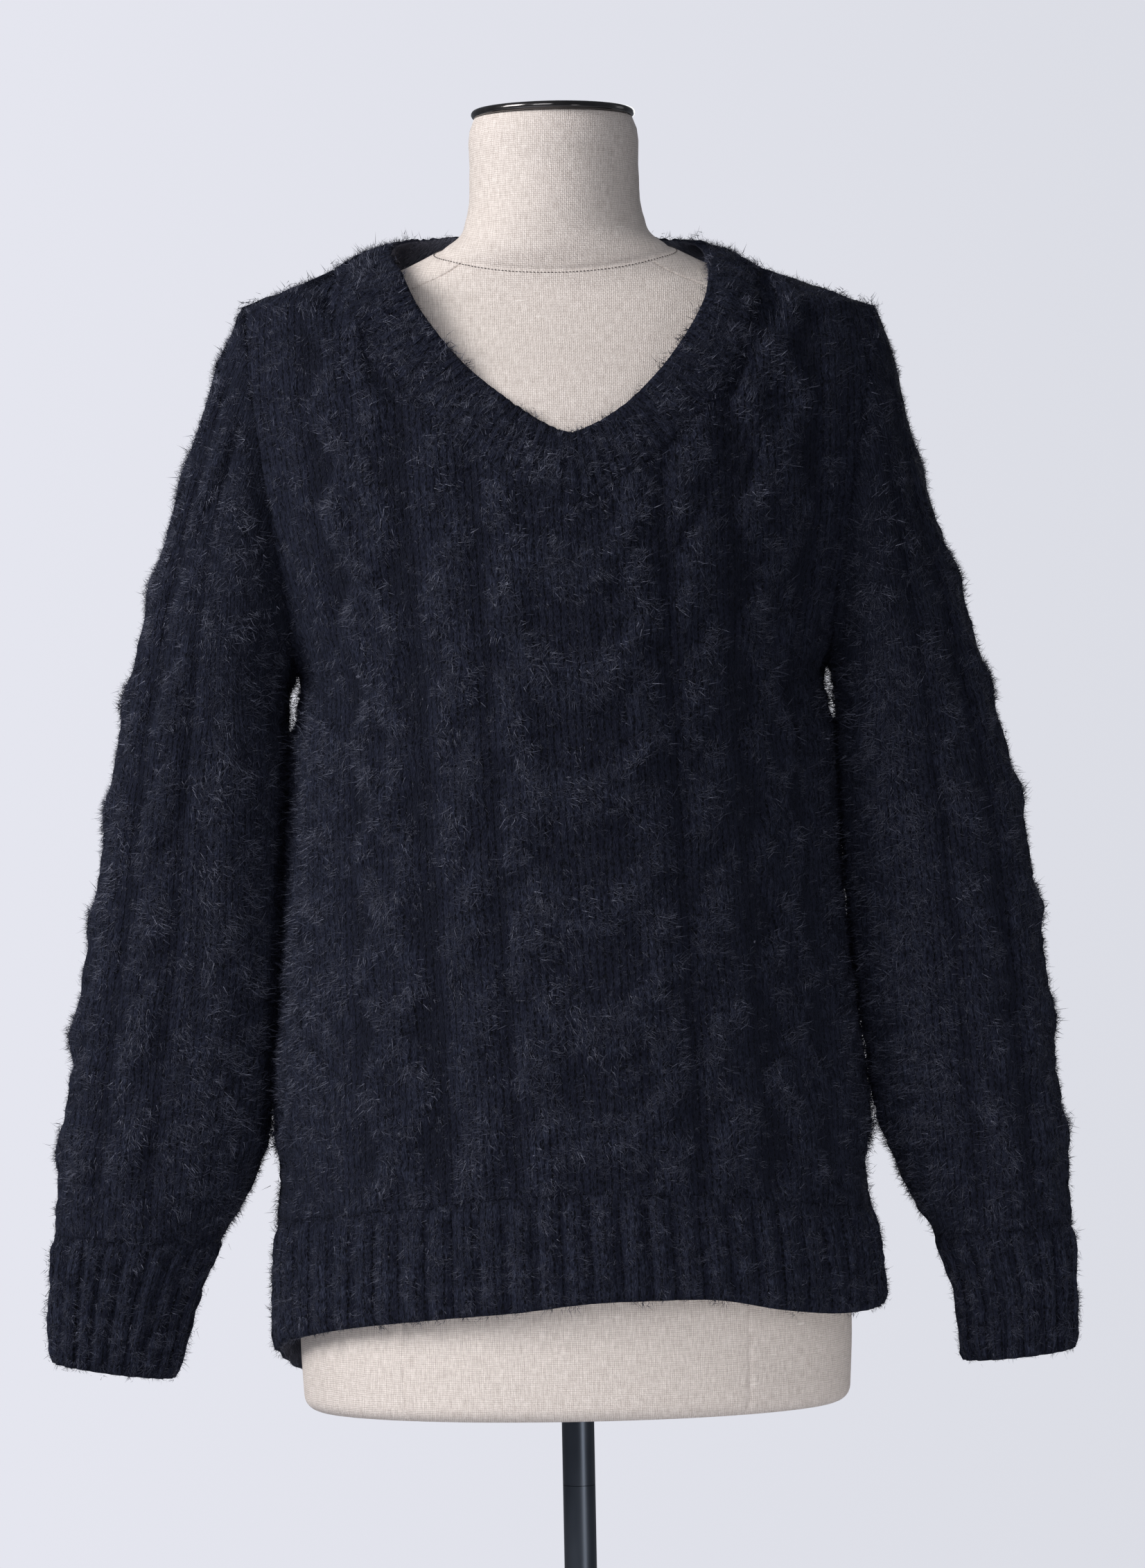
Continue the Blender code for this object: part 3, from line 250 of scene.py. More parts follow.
# %% Curves and lengths
def smooth(xs, ys, at):
    """A smooth curve through the points (xs, ys), read at the places given."""
    at = np.clip(at, xs[0], xs[-1])
    slopes = np.gradient(ys, xs)
    i = np.clip(np.searchsorted(xs, at) - 1, 0, len(xs) - 2)
    step = xs[i + 1] - xs[i]
    t = (at - xs[i]) / step
    rise = ys[i + 1] - ys[i]
    bend = (slopes[i] + slopes[i + 1]) * step - 2 * rise
    curve = 3 * rise - (2 * slopes[i] + slopes[i + 1]) * step
    return ys[i] + t * (slopes[i] * step + t * (curve + t * bend))


def lengths_along(points):
    """How far along a line of points each one lies."""
    steps = np.linalg.norm(np.diff(points, axis=0), axis=1)
    return np.concatenate([[0.0], np.cumsum(steps)])


def unit(vectors):
    return vectors / np.maximum(np.linalg.norm(vectors, axis=-1, keepdims=True), 1e-9)


def grid_normals(points, outwards):
    """Normals of a grid of points, on the side that outwards points to."""
    normals = unit(np.cross(np.gradient(points, axis=1), np.gradient(points, axis=0)))
    turned = np.sum(normals * outwards, axis=-1, keepdims=True) < 0
    return np.where(turned, -normals, normals)


print("the body is", smooth(SIDES["height"], SIDES["right"], 700.0).round(1), "mm to the right at 700")

# %% [markdown]
# ## The cables
#
# A cable is a strand of knit that was crossed over its neighbour. Down the middle of the pullover run
# horseshoes, one above the other, with a twisted rope on either side of them and a column of diamonds
# beyond that. Each pattern is a function of two lengths, across the knit and up it, and gives a height
# from 0, the ground, to 1, a cable's top. The solids of the model use the same functions on a coarser
# mesh.

# %% The relief of the cables
HORSESHOE_HALF = 50.0
ROPE_FROM = 58.0
ROPE_TO = 92.0
DIAMOND_FROM = 99.0
DIAMOND_TO = 156.0
SIDE_RIDGE = 166.0
CENTRE_LOW = 24.0  # the pattern's centre line hangs askew: its X at the height LOW ...
CENTRE_LEAN = 0.046  # ... and how far it moves to the left for each millimetre up
LOW = 515.0
RIDGE_HALF = 6.0
DIAMOND_STRAND_HALF = 9.0
SLEEVE_HORSESHOE_HALF = 43.0
SLEEVE_GROUND = 0.45  # how full a sleeve is between its horseshoes
SLEEVE_ROPE_FROM = 50.0
SLEEVE_ROPE_TO = 79.0
SLEEVE_RIDGE = 90.0

BEND_RISE = 0.62  # how far a horseshoe's strand climbs from its middle to its arms, in repeats
BEND_STRAND = 0.24  # half width of that strand, of the panel's half width
BEND_SLANT = 0.72  # the strand's real width for each millimetre measured upwards
ARM_END = 1.3  # where its arms have sunk behind the next horseshoe
ARM_FADE = 0.35
ROPE_SLANT = 0.42  # how far up a rope's strand lies at one edge of the rope
ROPE_CROSSING = 0.12  # how high a rope stays where its strands cross
ROPE_ROUND = 0.8
DIAMOND_TOP = 0.85
DIAMOND_MIDDLE = 0.25
RIDGE_TOP = 0.7  # of the single ridge beside the last cable ...
SIDE_LEVEL = 0.4  # ... and of the plain knit beyond it, on the body
SLEEVE_UNDER_LEVEL = 0.8  # and under the arm of a sleeve
RIB_TOP = 0.95
RIB_ROUND = 0.42
RIB_DRIFTS = ((0.09, 0.23, 0.0), (0.05, 1.7, 1.0))  # size, rate and start of what makes ribs uneven


def strand(distance, half_width):
    """A round strand, by the distance from its middle."""
    return np.sqrt(np.clip(1 - (distance / half_width) ** 2, 0, 1))


def horseshoes(across, height, half_width, ground=0.22):
    """U-shaped strands, one above the other, whose arms rise beside the next one's bend."""
    width = half_width * BEND_STRAND
    reach = half_width - width
    relief = ground * strand(across, half_width)
    share = np.clip(np.abs(across) / reach, 0, 1)
    rise = BEND_RISE * REPEAT * (1 - np.sqrt(1 - share**2))
    for turn in (0, 1):
        above = (height - FIRST_BEND) % REPEAT + turn * REPEAT
        beside = np.abs(np.abs(across) - reach)
        distance = np.where(above > BEND_RISE * REPEAT, beside, np.abs(above - rise) * BEND_SLANT)
        fade = np.clip((ARM_END * REPEAT - above) / (ARM_FADE * REPEAT), 0, 1)
        relief = np.maximum(relief, strand(distance, width) * fade**0.5)
    below = (FIRST_BEND - height) % REPEAT
    return np.maximum(relief, strand((below + rise) * BEND_SLANT, width))


def rope(across, height, half_width, hand):
    """Two strands laid round each other, which cross once in each repeat."""
    turn = (height - FIRST_BEND) / REPEAT - hand * ROPE_SLANT * across / half_width
    lay = np.abs(np.cos(np.pi * turn))
    return strand(across, half_width) * (ROPE_CROSSING + (1 - ROPE_CROSSING) * lay**ROPE_ROUND)


def diamonds(across, height, half_width):
    """Two narrow strands that part and meet again, round a raised middle."""
    width = DIAMOND_STRAND_HALF
    reach = half_width - width
    turn = ((height - FIRST_BEND) / REPEAT) % 1.0
    middle = reach * (1 - np.abs(2 * turn - 1))
    relief = np.maximum(strand(across - middle, width), strand(across + middle, width))
    return np.maximum(DIAMOND_TOP * relief, DIAMOND_MIDDLE * (np.abs(across) < middle))


def ridged(relief, away, ridge, level):
    """The relief with its last, single ridge, and the plain knit beyond that."""
    beyond = np.clip((away - ridge) / (2 * RIDGE_HALF), 0, 1)
    return np.maximum(np.maximum(relief, RIDGE_TOP * strand(away - ridge, RIDGE_HALF)), level * beyond)


def roped(relief, across, height, start, stop):
    """The relief with a rope on either side, between two distances from the centre line."""
    half, middle = (stop - start) / 2, (start + stop) / 2
    return np.maximum(relief, rope(np.abs(across) - middle, height, half, np.sign(across)))


def body_relief(across, height):
    """The relief of the front and the back. across runs along the knit from the centre line."""
    away = np.abs(across)
    relief = np.where(away < HORSESHOE_HALF, horseshoes(across, height, HORSESHOE_HALF), 0.0)
    relief = roped(relief, across, height, ROPE_FROM, ROPE_TO)
    inside = (away > DIAMOND_FROM) & (away < DIAMOND_TO)
    half, middle = (DIAMOND_TO - DIAMOND_FROM) / 2, (DIAMOND_FROM + DIAMOND_TO) / 2
    relief = np.maximum(relief, inside * diamonds(away - middle, height, half))
    return ridged(relief, away, SIDE_RIDGE, SIDE_LEVEL)


def sleeve_relief(across, height):
    """The relief of a sleeve. across runs both ways from its outer line."""
    away = np.abs(across)
    panel = horseshoes(across, height, SLEEVE_HORSESHOE_HALF, SLEEVE_GROUND)
    relief = np.where(away < SLEEVE_HORSESHOE_HALF, panel, 0.0)
    relief = roped(relief, across, height, SLEEVE_ROPE_FROM, SLEEVE_ROPE_TO)
    return ridged(relief, away, SLEEVE_RIDGE, SLEEVE_UNDER_LEVEL)


def rib_relief(along, pitch):
    """Raised ribs with narrower sunk ones between them. No two are quite as wide."""
    drift = sum(size * np.sin(rate * along / pitch + start) for size, rate, start in RIB_DRIFTS)
    wave = 0.5 + 0.5 * np.cos(2 * np.pi * (along / pitch + drift))
    return RIB_TOP * wave**RIB_ROUND


def neighbours(values):
    """The sum of the four neighbours of each inner value of a grid."""
    return values[:-2, 1:-1] + values[2:, 1:-1] + values[1:-1, :-2] + values[1:-1, 2:]


def softened(relief, times=1):
    """The same relief with its steps rounded off, as thick yarn rounds them."""
    for _ in range(times):
        relief = neighbours(np.pad(relief, 1, mode="edge")) / 8 + relief / 2
    return relief


def near_edge(count, first, last):
    """How near each of count + 1 rows is to a seam: 1 on it, 0 past the first or the last few rows."""
    rows = np.arange(count + 1)
    near = np.zeros(count + 1)
    for away, reach in ((rows, first), (count - rows, last)):
        if reach:
            near = np.maximum(near, 1 - away / reach)
    return (near * near * (3 - 2 * near))[:, None]


def settled(relief, near, level=SEAM_LEVEL):
    """The relief brought to one level where near is 1, so that two pieces meet without a step."""
    return relief + near * (level - relief)


print("between its crossings a rope is raised", rope(np.array([0.0]), FIRST_BEND, 17.0, 1)[0].round(2))

# %% [markdown]
# ## Creases
#
# Worn knit this thick has few creases, and they are soft: it drags from the underarm towards the
# shoulder, sags a little above the rib, and breaks once across each elbow.
# A row gives a crease's middle, across and up the knit, its direction (0 runs across, 90 runs up),
# its length, its width, and its height, which is negative for a trough. No two are alike.

# %% Tables of the creases
CREASE_ROWS = {
    "knit_front": [
        (-150, 868, 62, 70, 13, -2.8),
        (-128, 905, 58, 62, 12, 1.6),
        (-168, 800, 80, 60, 12, -1.8),
        (148, 872, 118, 74, 13, -3.0),
        (124, 915, 124, 60, 13, 1.6),
        (165, 795, 100, 66, 12, -2.0),
        (-60, 940, 52, 70, 16, -1.6),
        (72, 948, 132, 64, 15, -1.5),
        (-96, 610, 96, 110, 20, -2.2),
        (-20, 590, 88, 90, 22, -1.5),
        (62, 600, 84, 120, 20, -2.2),
        (128, 640, 97, 100, 18, -1.8),
        (-140, 570, 84, 70, 16, 1.7),
        (30, 556, 8, 80, 13, -1.4),
        (-124, 1066, 18, 76, 22, -3.0),
        (112, 1062, 162, 76, 22, -3.0),
    ],
    "knit_back": [
        (-140, 880, 60, 75, 13, -2.8),
        (140, 876, 120, 70, 13, -2.7),
        (-158, 800, 82, 70, 13, -2.0),
        (160, 810, 98, 62, 13, -2.0),
        (-70, 700, 8, 120, 16, -2.6),
        (54, 684, -7, 110, 15, -2.4),
        (-6, 722, 3, 90, 14, 1.6),
        (-92, 600, 86, 100, 20, -2.2),
        (84, 610, 95, 110, 20, -2.3),
        (4, 590, 90, 90, 20, -1.6),
        (-122, 1066, 18, 80, 22, -3.0),
        (114, 1062, 162, 80, 22, -3.0),
    ],
    "knit_sleeve_left": [
        (70, 930, 66, 80, 14, -2.6),
        (52, 850, 78, 90, 14, -2.2),
        (78, 760, 84, 80, 14, -2.4),
        (62, 664, -14, 46, 9, -2.6),
        (70, 640, -10, 40, 9, 2.0),
        (20, 610, 12, 54, 10, -1.8),
        (-64, 920, 112, 80, 14, -2.4),
        (-58, 700, 12, 50, 10, -2.4),
        (-70, 650, 8, 50, 10, -2.2),
        (30, 556, -6, 60, 10, 2.0),
        (-20, 545, 5, 64, 11, 1.8),
        (84, 556, 14, 46, 10, -1.8),
        (0, 600, 90, 120, 40, 1.2),
    ],
    "knit_sleeve_right": [
        (72, 925, 68, 78, 14, -2.6),
        (56, 840, 80, 84, 14, -2.2),
        (74, 740, 82, 70, 13, -2.2),
        (66, 632, 6, 74, 7, -3.6),
        (60, 645, 8, 70, 9, 2.2),
        (30, 586, -10, 50, 10, -1.8),
        (-62, 915, 110, 78, 14, -2.4),
        (-60, 690, 10, 54, 10, -2.4),
        (-66, 640, 14, 48, 10, -2.0),
        (24, 548, 6, 58, 10, 2.0),
        (-30, 540, -4, 64, 11, 1.8),
        (86, 552, -12, 44, 10, -1.8),
        (0, 715, 90, 330, 45, 1.8),
        (0, 985, 90, 130, 45, -2.6),
    ],
}
CREASES = {name: table("across height angle length width rise", *rows) for name, rows in CREASE_ROWS.items()}


def creased(name, across, height):
    """How far the creases lift the knit, in millimetres. The sum of soft troughs and ridges."""
    rise = np.zeros(np.broadcast(across, height).shape)
    creases = CREASES[name]
    for k in range(len(creases["rise"])):
        angle = np.radians(creases["angle"][k])
        right, up = across - creases["across"][k], height - creases["height"][k]
        along = (right * np.cos(angle) + up * np.sin(angle)) / (0.5 * creases["length"][k])
        beside = (up * np.cos(angle) - right * np.sin(angle)) / creases["width"][k]
        rise += creases["rise"][k] * np.exp(-(along**2) - beside**2)
    return rise


print("creases:", {name: len(creases["rise"]) for name, creases in CREASES.items()})

# %% [markdown]
# ## Walls
#
# A knitted piece has a thickness, which shows at its cuffs, hem and neck. So each piece is a closed
# wall: a fine outer face with the cables, a plain inner face with half as many points each way, and
# rims between the two. A map called "knit" holds each corner's place on the flat cloth in metres, so
# that stitches follow the cloth and not the room. A mark on the faces, "fur", says where hairs grow.

# %% A closed wall from two grids
def quads(grid):
    """The four corners of every cell of a grid, whatever the grid holds."""
    corners = [grid[:-1, :-1], grid[:-1, 1:], grid[1:, 1:], grid[1:, :-1]]
    return np.stack(corners, 2).reshape(-1, 4, *grid.shape[2:])


def rims(fine, coarse):
    """Triangles between a fine edge and a plain edge that has half as many steps."""
    corners = [
        (fine[1::2], fine[:-2:2], coarse[:-1]),
        (coarse[1:], fine[1::2], coarse[:-1]),
        (fine[2::2], fine[1::2], coarse[1:]),
    ]
    return np.concatenate([np.stack(three, 1) for three in corners])


def volume_of(points, faces):
    """The volume inside closed faces. It is negative if they point inwards."""
    total = 0.0
    for corners in faces:
        for k in range(1, corners.shape[1] - 1):
            a, b, c = (points[corners[:, m]] for m in (0, k, k + 1))
            total += np.einsum("ij,ij->", a, np.cross(b, c)) / 6
    return total


def linked(name, data):
    """A new object in the scene."""
    made = bpy.data.objects.new(name, data)
    bpy.context.scene.collection.objects.link(made)
    return made


def add_mesh(name, points, faces, sharp=180.0):
    """One object at the origin from points in millimetres."""
    mesh = bpy.data.meshes.new(name)
    mesh.from_pydata((np.asarray(points) * MM).tolist(), [], [tuple(face) for face in faces])
    mesh.shade_smooth()
    mesh.set_sharp_from_angle(angle=np.radians(sharp))
    return linked(name, mesh)


INSIDE = 2.0  # what "relief" says on a wall's inner face; the outer face has 0 to 1


def make_wall(name, outer, inner, flat, relief, ring=False):
    """A closed wall. flat gives each point's place on the flat cloth, in millimetres."""
    columns = outer.shape[1] - 1
    plain, plain_flat = inner[::2, ::2], flat[::2, ::2]
    kept = columns if ring else columns + 1
    plain_kept = columns // 2 if ring else columns // 2 + 1
    points = np.concatenate([outer[:, :kept].reshape(-1, 3), plain[:, :plain_kept].reshape(-1, 3)])
    rows, plain_rows = np.arange(outer.shape[0])[:, None], np.arange(plain.shape[0])[:, None]
    out = rows * kept + np.arange(columns + 1) % kept
    into = outer.shape[0] * kept + plain_rows * plain_kept + np.arange(columns // 2 + 1) % plain_kept
    edges = [(out[0], into[0], flat[0], 1), (out[-1], into[-1], flat[-1], -1)]
    if not ring:
        edges += [(out[:, 0], into[:, 0], flat[:, 0], -1), (out[:, -1], into[:, -1], flat[:, -1], 1)]
    faces = [quads(out), quads(into)[:, ::-1]]
    places = [quads(flat), quads(plain_flat)[:, ::-1]]
    for fine, coarse, place, turn in edges:
        faces.append(rims(fine, coarse)[:, ::turn])
        places.append(rims(place, place[::2])[:, ::turn])
    if volume_of(points, faces) < 0:
        faces = [group[:, ::-1] for group in faces]
        places = [group[:, ::-1] for group in places]
    piece = add_mesh(name, points, [face for group in faces for face in group.tolist()])
    knit = piece.data.uv_layers.new(name="knit")
    knit.data.foreach_set("uv", np.concatenate([group.reshape(-1) for group in places]) * MM)
    fur = piece.data.attributes.new("fur", "BOOLEAN", "FACE")
    hairy = np.ones(len(piece.data.polygons), bool)
    hairy[len(faces[0]) : len(faces[0]) + len(faces[1])] = False
    fur.data.foreach_set("value", hairy)
    raised = piece.data.attributes.new("relief", "FLOAT", "POINT")
    lying = np.full(plain.shape[0] * plain_kept, INSIDE)
    raised.data.foreach_set("value", np.concatenate([relief[:, :kept].reshape(-1), lying]))
    print(name, "has", len(points), "points and", sum(len(f) * (f.shape[1] - 2) for f in faces), "triangles")
    return piece


LUMPS = 0.8  # how much the uneven yarn lifts and sinks the outer face
SEAM_LAP = 1.0  # how far a piece runs under its neighbour at a seam
lump_random = np.random.default_rng(5)


def layered(reach, normals, relief, rise=0.0):
    """The outer and inner points of a wall, from its outermost reach."""
    lift = np.broadcast_to(np.asarray(rise), relief.shape)
    lumps = LUMPS * softened(lump_random.normal(size=relief.shape))
    outer = reach + (lift + lumps - NAP - DEEP_RELIEF * (1 - relief))[..., None] * normals
    return outer, reach + (lift - RELIEF - WALL)[..., None] * normals


# %% [markdown]
# ## The neckline
#
# The V neck is a loop of stations, each with a point on the neckband's free edge and one on its seam.
# It comes first, because the front and the back end on that seam.

# %% The neckline
RIGHT_SHOULDER_STATION = 6
LEFT_SHOULDER_STATION = 12
NECK_MIDDLE = (-6.0, 0.0, 960.0)  # a point inside the garment, behind the V
NECK_SAMPLES = 541


class Neckline:
    """The neckband's two edges, read smoothly from its stations, with the knit's normals."""

    def __init__(self):
        stations = np.arange(len(NECKBAND["in_x"]), dtype=float)
        self.at = np.linspace(0, stations[-1], NECK_SAMPLES)
        self.inner = np.stack([smooth(stations, NECKBAND["in_" + k], self.at) for k in "xyz"], 1)
        self.outer = np.stack([smooth(stations, NECKBAND["out_" + k], self.at) for k in "xyz"], 1)
        along = np.gradient((self.inner + self.outer) / 2, axis=0)
        normals = unit(np.cross(along, self.outer - self.inner))
        inwards = np.sum(normals * (self.outer - NECK_MIDDLE), axis=1, keepdims=True) < 0
        self.normals = np.where(inwards, -normals, normals)

    def station(self, x, side):
        """The place, in stations, at which the outer edge has this X on the front or the back."""
        if side > 0:
            low, high = RIGHT_SHOULDER_STATION, LEFT_SHOULDER_STATION
        elif x >= NECKBAND["out_x"][0]:
            low, high = 0, RIGHT_SHOULDER_STATION
        else:
            low, high = LEFT_SHOULDER_STATION, self.at[-1]
        chosen = (self.at >= low) & (self.at <= high)
        places, xs = self.at[chosen], self.outer[chosen, 0]
        if side > 0:
            return np.interp(-x, -xs, places)
        return np.interp(x, np.maximum.accumulate(xs), places)

    def read(self, values, place):
        return np.array([np.interp(place, self.at, values[:, k]) for k in range(3)])

    def seam(self, place):
        """A panel's point on the neck seam, moved off the neckband, and the knit's normal there."""
        outer = self.read(self.outer, place)
        away = unit(outer - self.read(self.inner, place))
        return outer + GAP * away, unit(self.read(self.normals, place))


neckline = Neckline()
print("the neck's seam is", lengths_along(neckline.outer)[-1].round(), "mm long")

# %% [markdown]
# ## The front and the back
#
# Each panel is a stack of sections, which are parts of an oval, from the rib up to the shoulders and
# the neck. Columns of points run up the cloth at a fixed distance from the middle of the pattern, as
# the stitches do. Past the last cable they fan out to the side seam and round the armhole.

# %% Sections of the body
FINE = 260  # samples in height from which a panel's rows are read ...
PANEL_LOW = 480.0
PANEL_HIGH = 1082.0  # ... between these heights
COLUMN_STEP = 3.5
LAST_COLUMN = 157.0
SIDE_COLUMNS = 8
PANEL_ROWS = 152
NECK_BLEND = 60.0  # height over which a column leans towards its end point
SHOULDER_FROM = 1000.0  # above this height the panels also face up
PANEL_FACING = (0.4, 1, 0)  # how much of a point's place counts for which way the panel faces there
SHOULDER_FACING = 20.0
UNDERARM_TURN = 6.0
RIB_CLEAR = 2.0  # height above the rib's top at which a column's next point may lie
EASING = 3  # times that the normals are evened out
PANEL_SETTLES = (2, 7)  # rows over which the cables settle at the rib and at the shoulder
SIDE_SETTLES = (-15.0, 20.0)  # where they begin to settle at the sides, from the underarm, and how fast
TOUCHING_LEVEL = 1.1  # how full the knit is where the sleeves lie against the body, fur to fur
# There the body's sides and the sleeves swell towards each other, and close the gap between them.
TOUCHING = table(
    "height swell",
    (545, 0.0),
    (560, 1.0),
    (578, 2.2),
    (640, 2.5),
    (705, 3.0),
    (760, 5.2),
    (796, 5.8),
    (806, 1.6),
    (822, 0.6),
    (838, 0.0),
)


def swelling(height):
    """How far the body and a sleeve swell towards each other at this height."""
    return np.interp(height, TOUCHING["height"], TOUCHING["swell"])


def armhole(half):
    """The armhole's row for the left (-1) or the right (1)."""
    return {key: values[0 if half < 0 else 1] for key, values in ARMHOLES.items()}


def shoulder_slope(half):
    """How far the shoulder seam falls for each millimetre outwards."""
    hole = armhole(half)
    corner = 0 if half < 0 else 1
    run = hole["tip_x"] - NECK_CORNERS["x"][corner]
    return (NECK_CORNERS["z"][corner] - hole["tip_z"]) / run


def edge_at(half, side, height):
    """Where one half of a panel ends at this height, and how far from the side seam's plane."""
    hole = armhole(half)
    if height <= hole["under_z"]:
        return smooth(SIDES["height"], SIDES["left" if half < 0 else "right"], height), 0.0
    if height >= hole["tip_z"]:
        return hole["tip_x"] - (height - hole["tip_z"]) / shoulder_slope(half), 0.0
    share = (height - hole["under_z"]) / (hole["tip_z"] - hole["under_z"])
    reach = hole["front"] if side < 0 else hole["back"]
    out = hole["under_x"] + share * (hole["tip_x"] - hole["under_x"])
    return out, reach * np.sqrt(1 - (2 * share - 1) ** 2)


def section(side, height, samples=48):
    """One panel's section: its X and Y from the left edge to the right edge."""
    depth = smooth(DEPTHS["height"], DEPTHS["front" if side < 0 else "back"], height)
    halves = []
    for half in (-1, 1):
        out, in_front = edge_at(half, side, height)
        width = out / np.sqrt(1 - (in_front / depth) ** 2)
        angles = np.linspace(0, np.arcsin(min(out / width, 1)), samples)
        halves.append(np.stack([half * width * np.sin(angles), side * depth * np.cos(angles)], 1))
    return np.concatenate([halves[0][:0:-1], halves[1]])


def centre_line(height):
    """X of the middle of the pattern."""
    return CENTRE_LOW - CENTRE_LEAN * (height - LOW)


def hem_at(angle, column):
    return smooth(HEM["angle"], HEM[column], angle)


def facing(point):
    """The angle that a point of the body faces, as HEM counts it."""
    return np.degrees(np.arctan2(point[0], -point[1]))


# %% Panels of the body
class Panel:
    """The front (side -1) or the back (side 1), from the rib up to the shoulders and neck."""

    def __init__(self, side):
        self.side = side
        half = np.arange(COLUMN_STEP, LAST_COLUMN, COLUMN_STEP)
        places = [(d, 0.0) for d in half]
        places += [(half[-1], (k + 1) / SIDE_COLUMNS) for k in range(SIDE_COLUMNS)]
        self.places = [(-d, s) for d, s in places[::-1]] + [(0.0, 0.0)] + places
        self.halves = [-1] * len(places) + [1] * (len(places) + 1)
        self.lay_sections()
        self.lay_columns()
        self.set_edges()

    def lay_sections(self):
        self.heights = np.linspace(PANEL_LOW, PANEL_HIGH, FINE)
        self.sections = [section(self.side, height) for height in self.heights]
        self.across = []
        for height, points in zip(self.heights, self.sections):
            along = lengths_along(points)
            middle = np.interp(centre_line(height), points[:, 0], along)
            self.across.append(along - middle)

    def target(self, index, column):
        """How far from the centre line this column lies in one section."""
        (place, share), half = self.places[column], self.halves[column]
        if share == 0:
            return place
        tip = armhole(half)["tip_z"]
        held = min(index, np.searchsorted(self.heights, tip) - 1)
        end = self.across[held][0 if half < 0 else -1]
        return place + share * (end - place)

    def top_at(self, x, half):
        """The panel's upper edge: the shoulder seam, or the neckband's outer edge."""
        hole = armhole(half)
        if half * x >= NECK_CORNERS["x"][0 if half < 0 else 1]:
            z = hole["tip_z"] + (hole["tip_x"] - half * x) * shoulder_slope(half)
            return np.array([x, 0.0, z])
        return neckline.read(neckline.outer, neckline.station(x, self.side))

    def column_path(self, column):
        """The column's points on the sections, from the rib's top to the panel's edge."""
        half = self.halves[column]
        path = []
        for index, height in enumerate(self.heights):
            across, along = self.target(index, column), self.across[index]
            if across < along[0] - 1e-6 or across > along[-1] + 1e-6:
                break
            points = self.sections[index]
            x, y = (np.interp(across, along, points[:, k]) for k in range(2))
            if height > self.top_at(x, half)[2]:
                break
            path.append((x, y, height))
        path = np.array(path)
        start = hem_at(facing(path[0]), "rib_top")
        low = np.array([np.interp(start, path[:, 2], path[:, k]) for k in range(3)])
        return np.concatenate([[low], path[path[:, 2] > start + RIB_CLEAR]])

    def lay_columns(self):
        paths = [self.column_path(column) for column in range(len(self.places))]
        tops = np.array([self.top_at(path[-1][0], half) for path, half in zip(paths, self.halves)])
        # The columns nearest to the corners of the neck and to the point of the V end on them.
        corners = []
        for corner, half in ((0, -1), (1, 1)):
            x = half * NECK_CORNERS["x"][corner]
            nearest = int(np.argmin(np.abs(tops[:, 0] - x)))
            tops[nearest] = (x, 0.0, NECK_CORNERS["z"][corner])
            corners.append(nearest)
        self.left_corner, self.right_corner = corners
        self.v_point = int(np.argmin(np.abs(tops[:, 0] - NECKBAND["out_x"][0])))
        self.ends = self.spread_ends(tops)
        for column, place in self.ends.items():
            tops[column] = neckline.read(neckline.outer, place)
        for column, half in ((0, -1), (-1, 1)):
            hole = armhole(half)
            tops[column] = (half * hole["tip_x"], 0.0, hole["tip_z"])
        grid = []
        for path, top in zip(paths, tops):
            path = self.round_over(path, top)
            along = lengths_along(path)
            even = np.linspace(0, along[-1], PANEL_ROWS + 1)
            grid.append(np.stack([np.interp(even, along, path[:, k]) for k in range(3)], 1))
        self.grid = np.array(grid).transpose(1, 0, 2)

    def spread_ends(self, tops):
        """The place on the neckline, in stations, at which each column between the corners ends."""
        arms = [(self.left_corner, self.right_corner, LEFT_SHOULDER_STATION, RIGHT_SHOULDER_STATION)]
        if self.side < 0:
            last = len(NECKBAND["in_x"]) - 1
            arms = [
                (self.left_corner, self.v_point, LEFT_SHOULDER_STATION, last),
                (self.v_point, self.right_corner, 0, RIGHT_SHOULDER_STATION),
            ]
        ends = {}
        for start, stop, low, high in arms:
            for column in range(start, stop + 1):
                even = low + (high - low) * (column - start) / (stop - start)
                above = neckline.station(tops[column, 0], self.side)
                ends[column] = even if column in (start, stop) else (even + above) / 2
        return ends

    def round_over(self, path, top):
        """Leads the column's last stretch into its end point."""
        blend = np.clip((path[:, 2] - (path[-1, 2] - NECK_BLEND)) / NECK_BLEND, 0, 1) ** 2
        path = path + blend[:, None] * (top - path[-1])
        if abs(top[1]) > 1:
            return path
        # On the shoulder the column turns over in a quarter of an oval.
        path = path[:-1]
        turns = np.linspace(0.1, 1, 10) * np.pi / 2
        step = top - path[-1]
        shares = np.stack([np.sin(turns)] * 3, 1)
        if step[2] < 0:
            shares[:, 2] = 1 - np.cos(turns)
        return np.concatenate([path, path[-1] + shares * step])

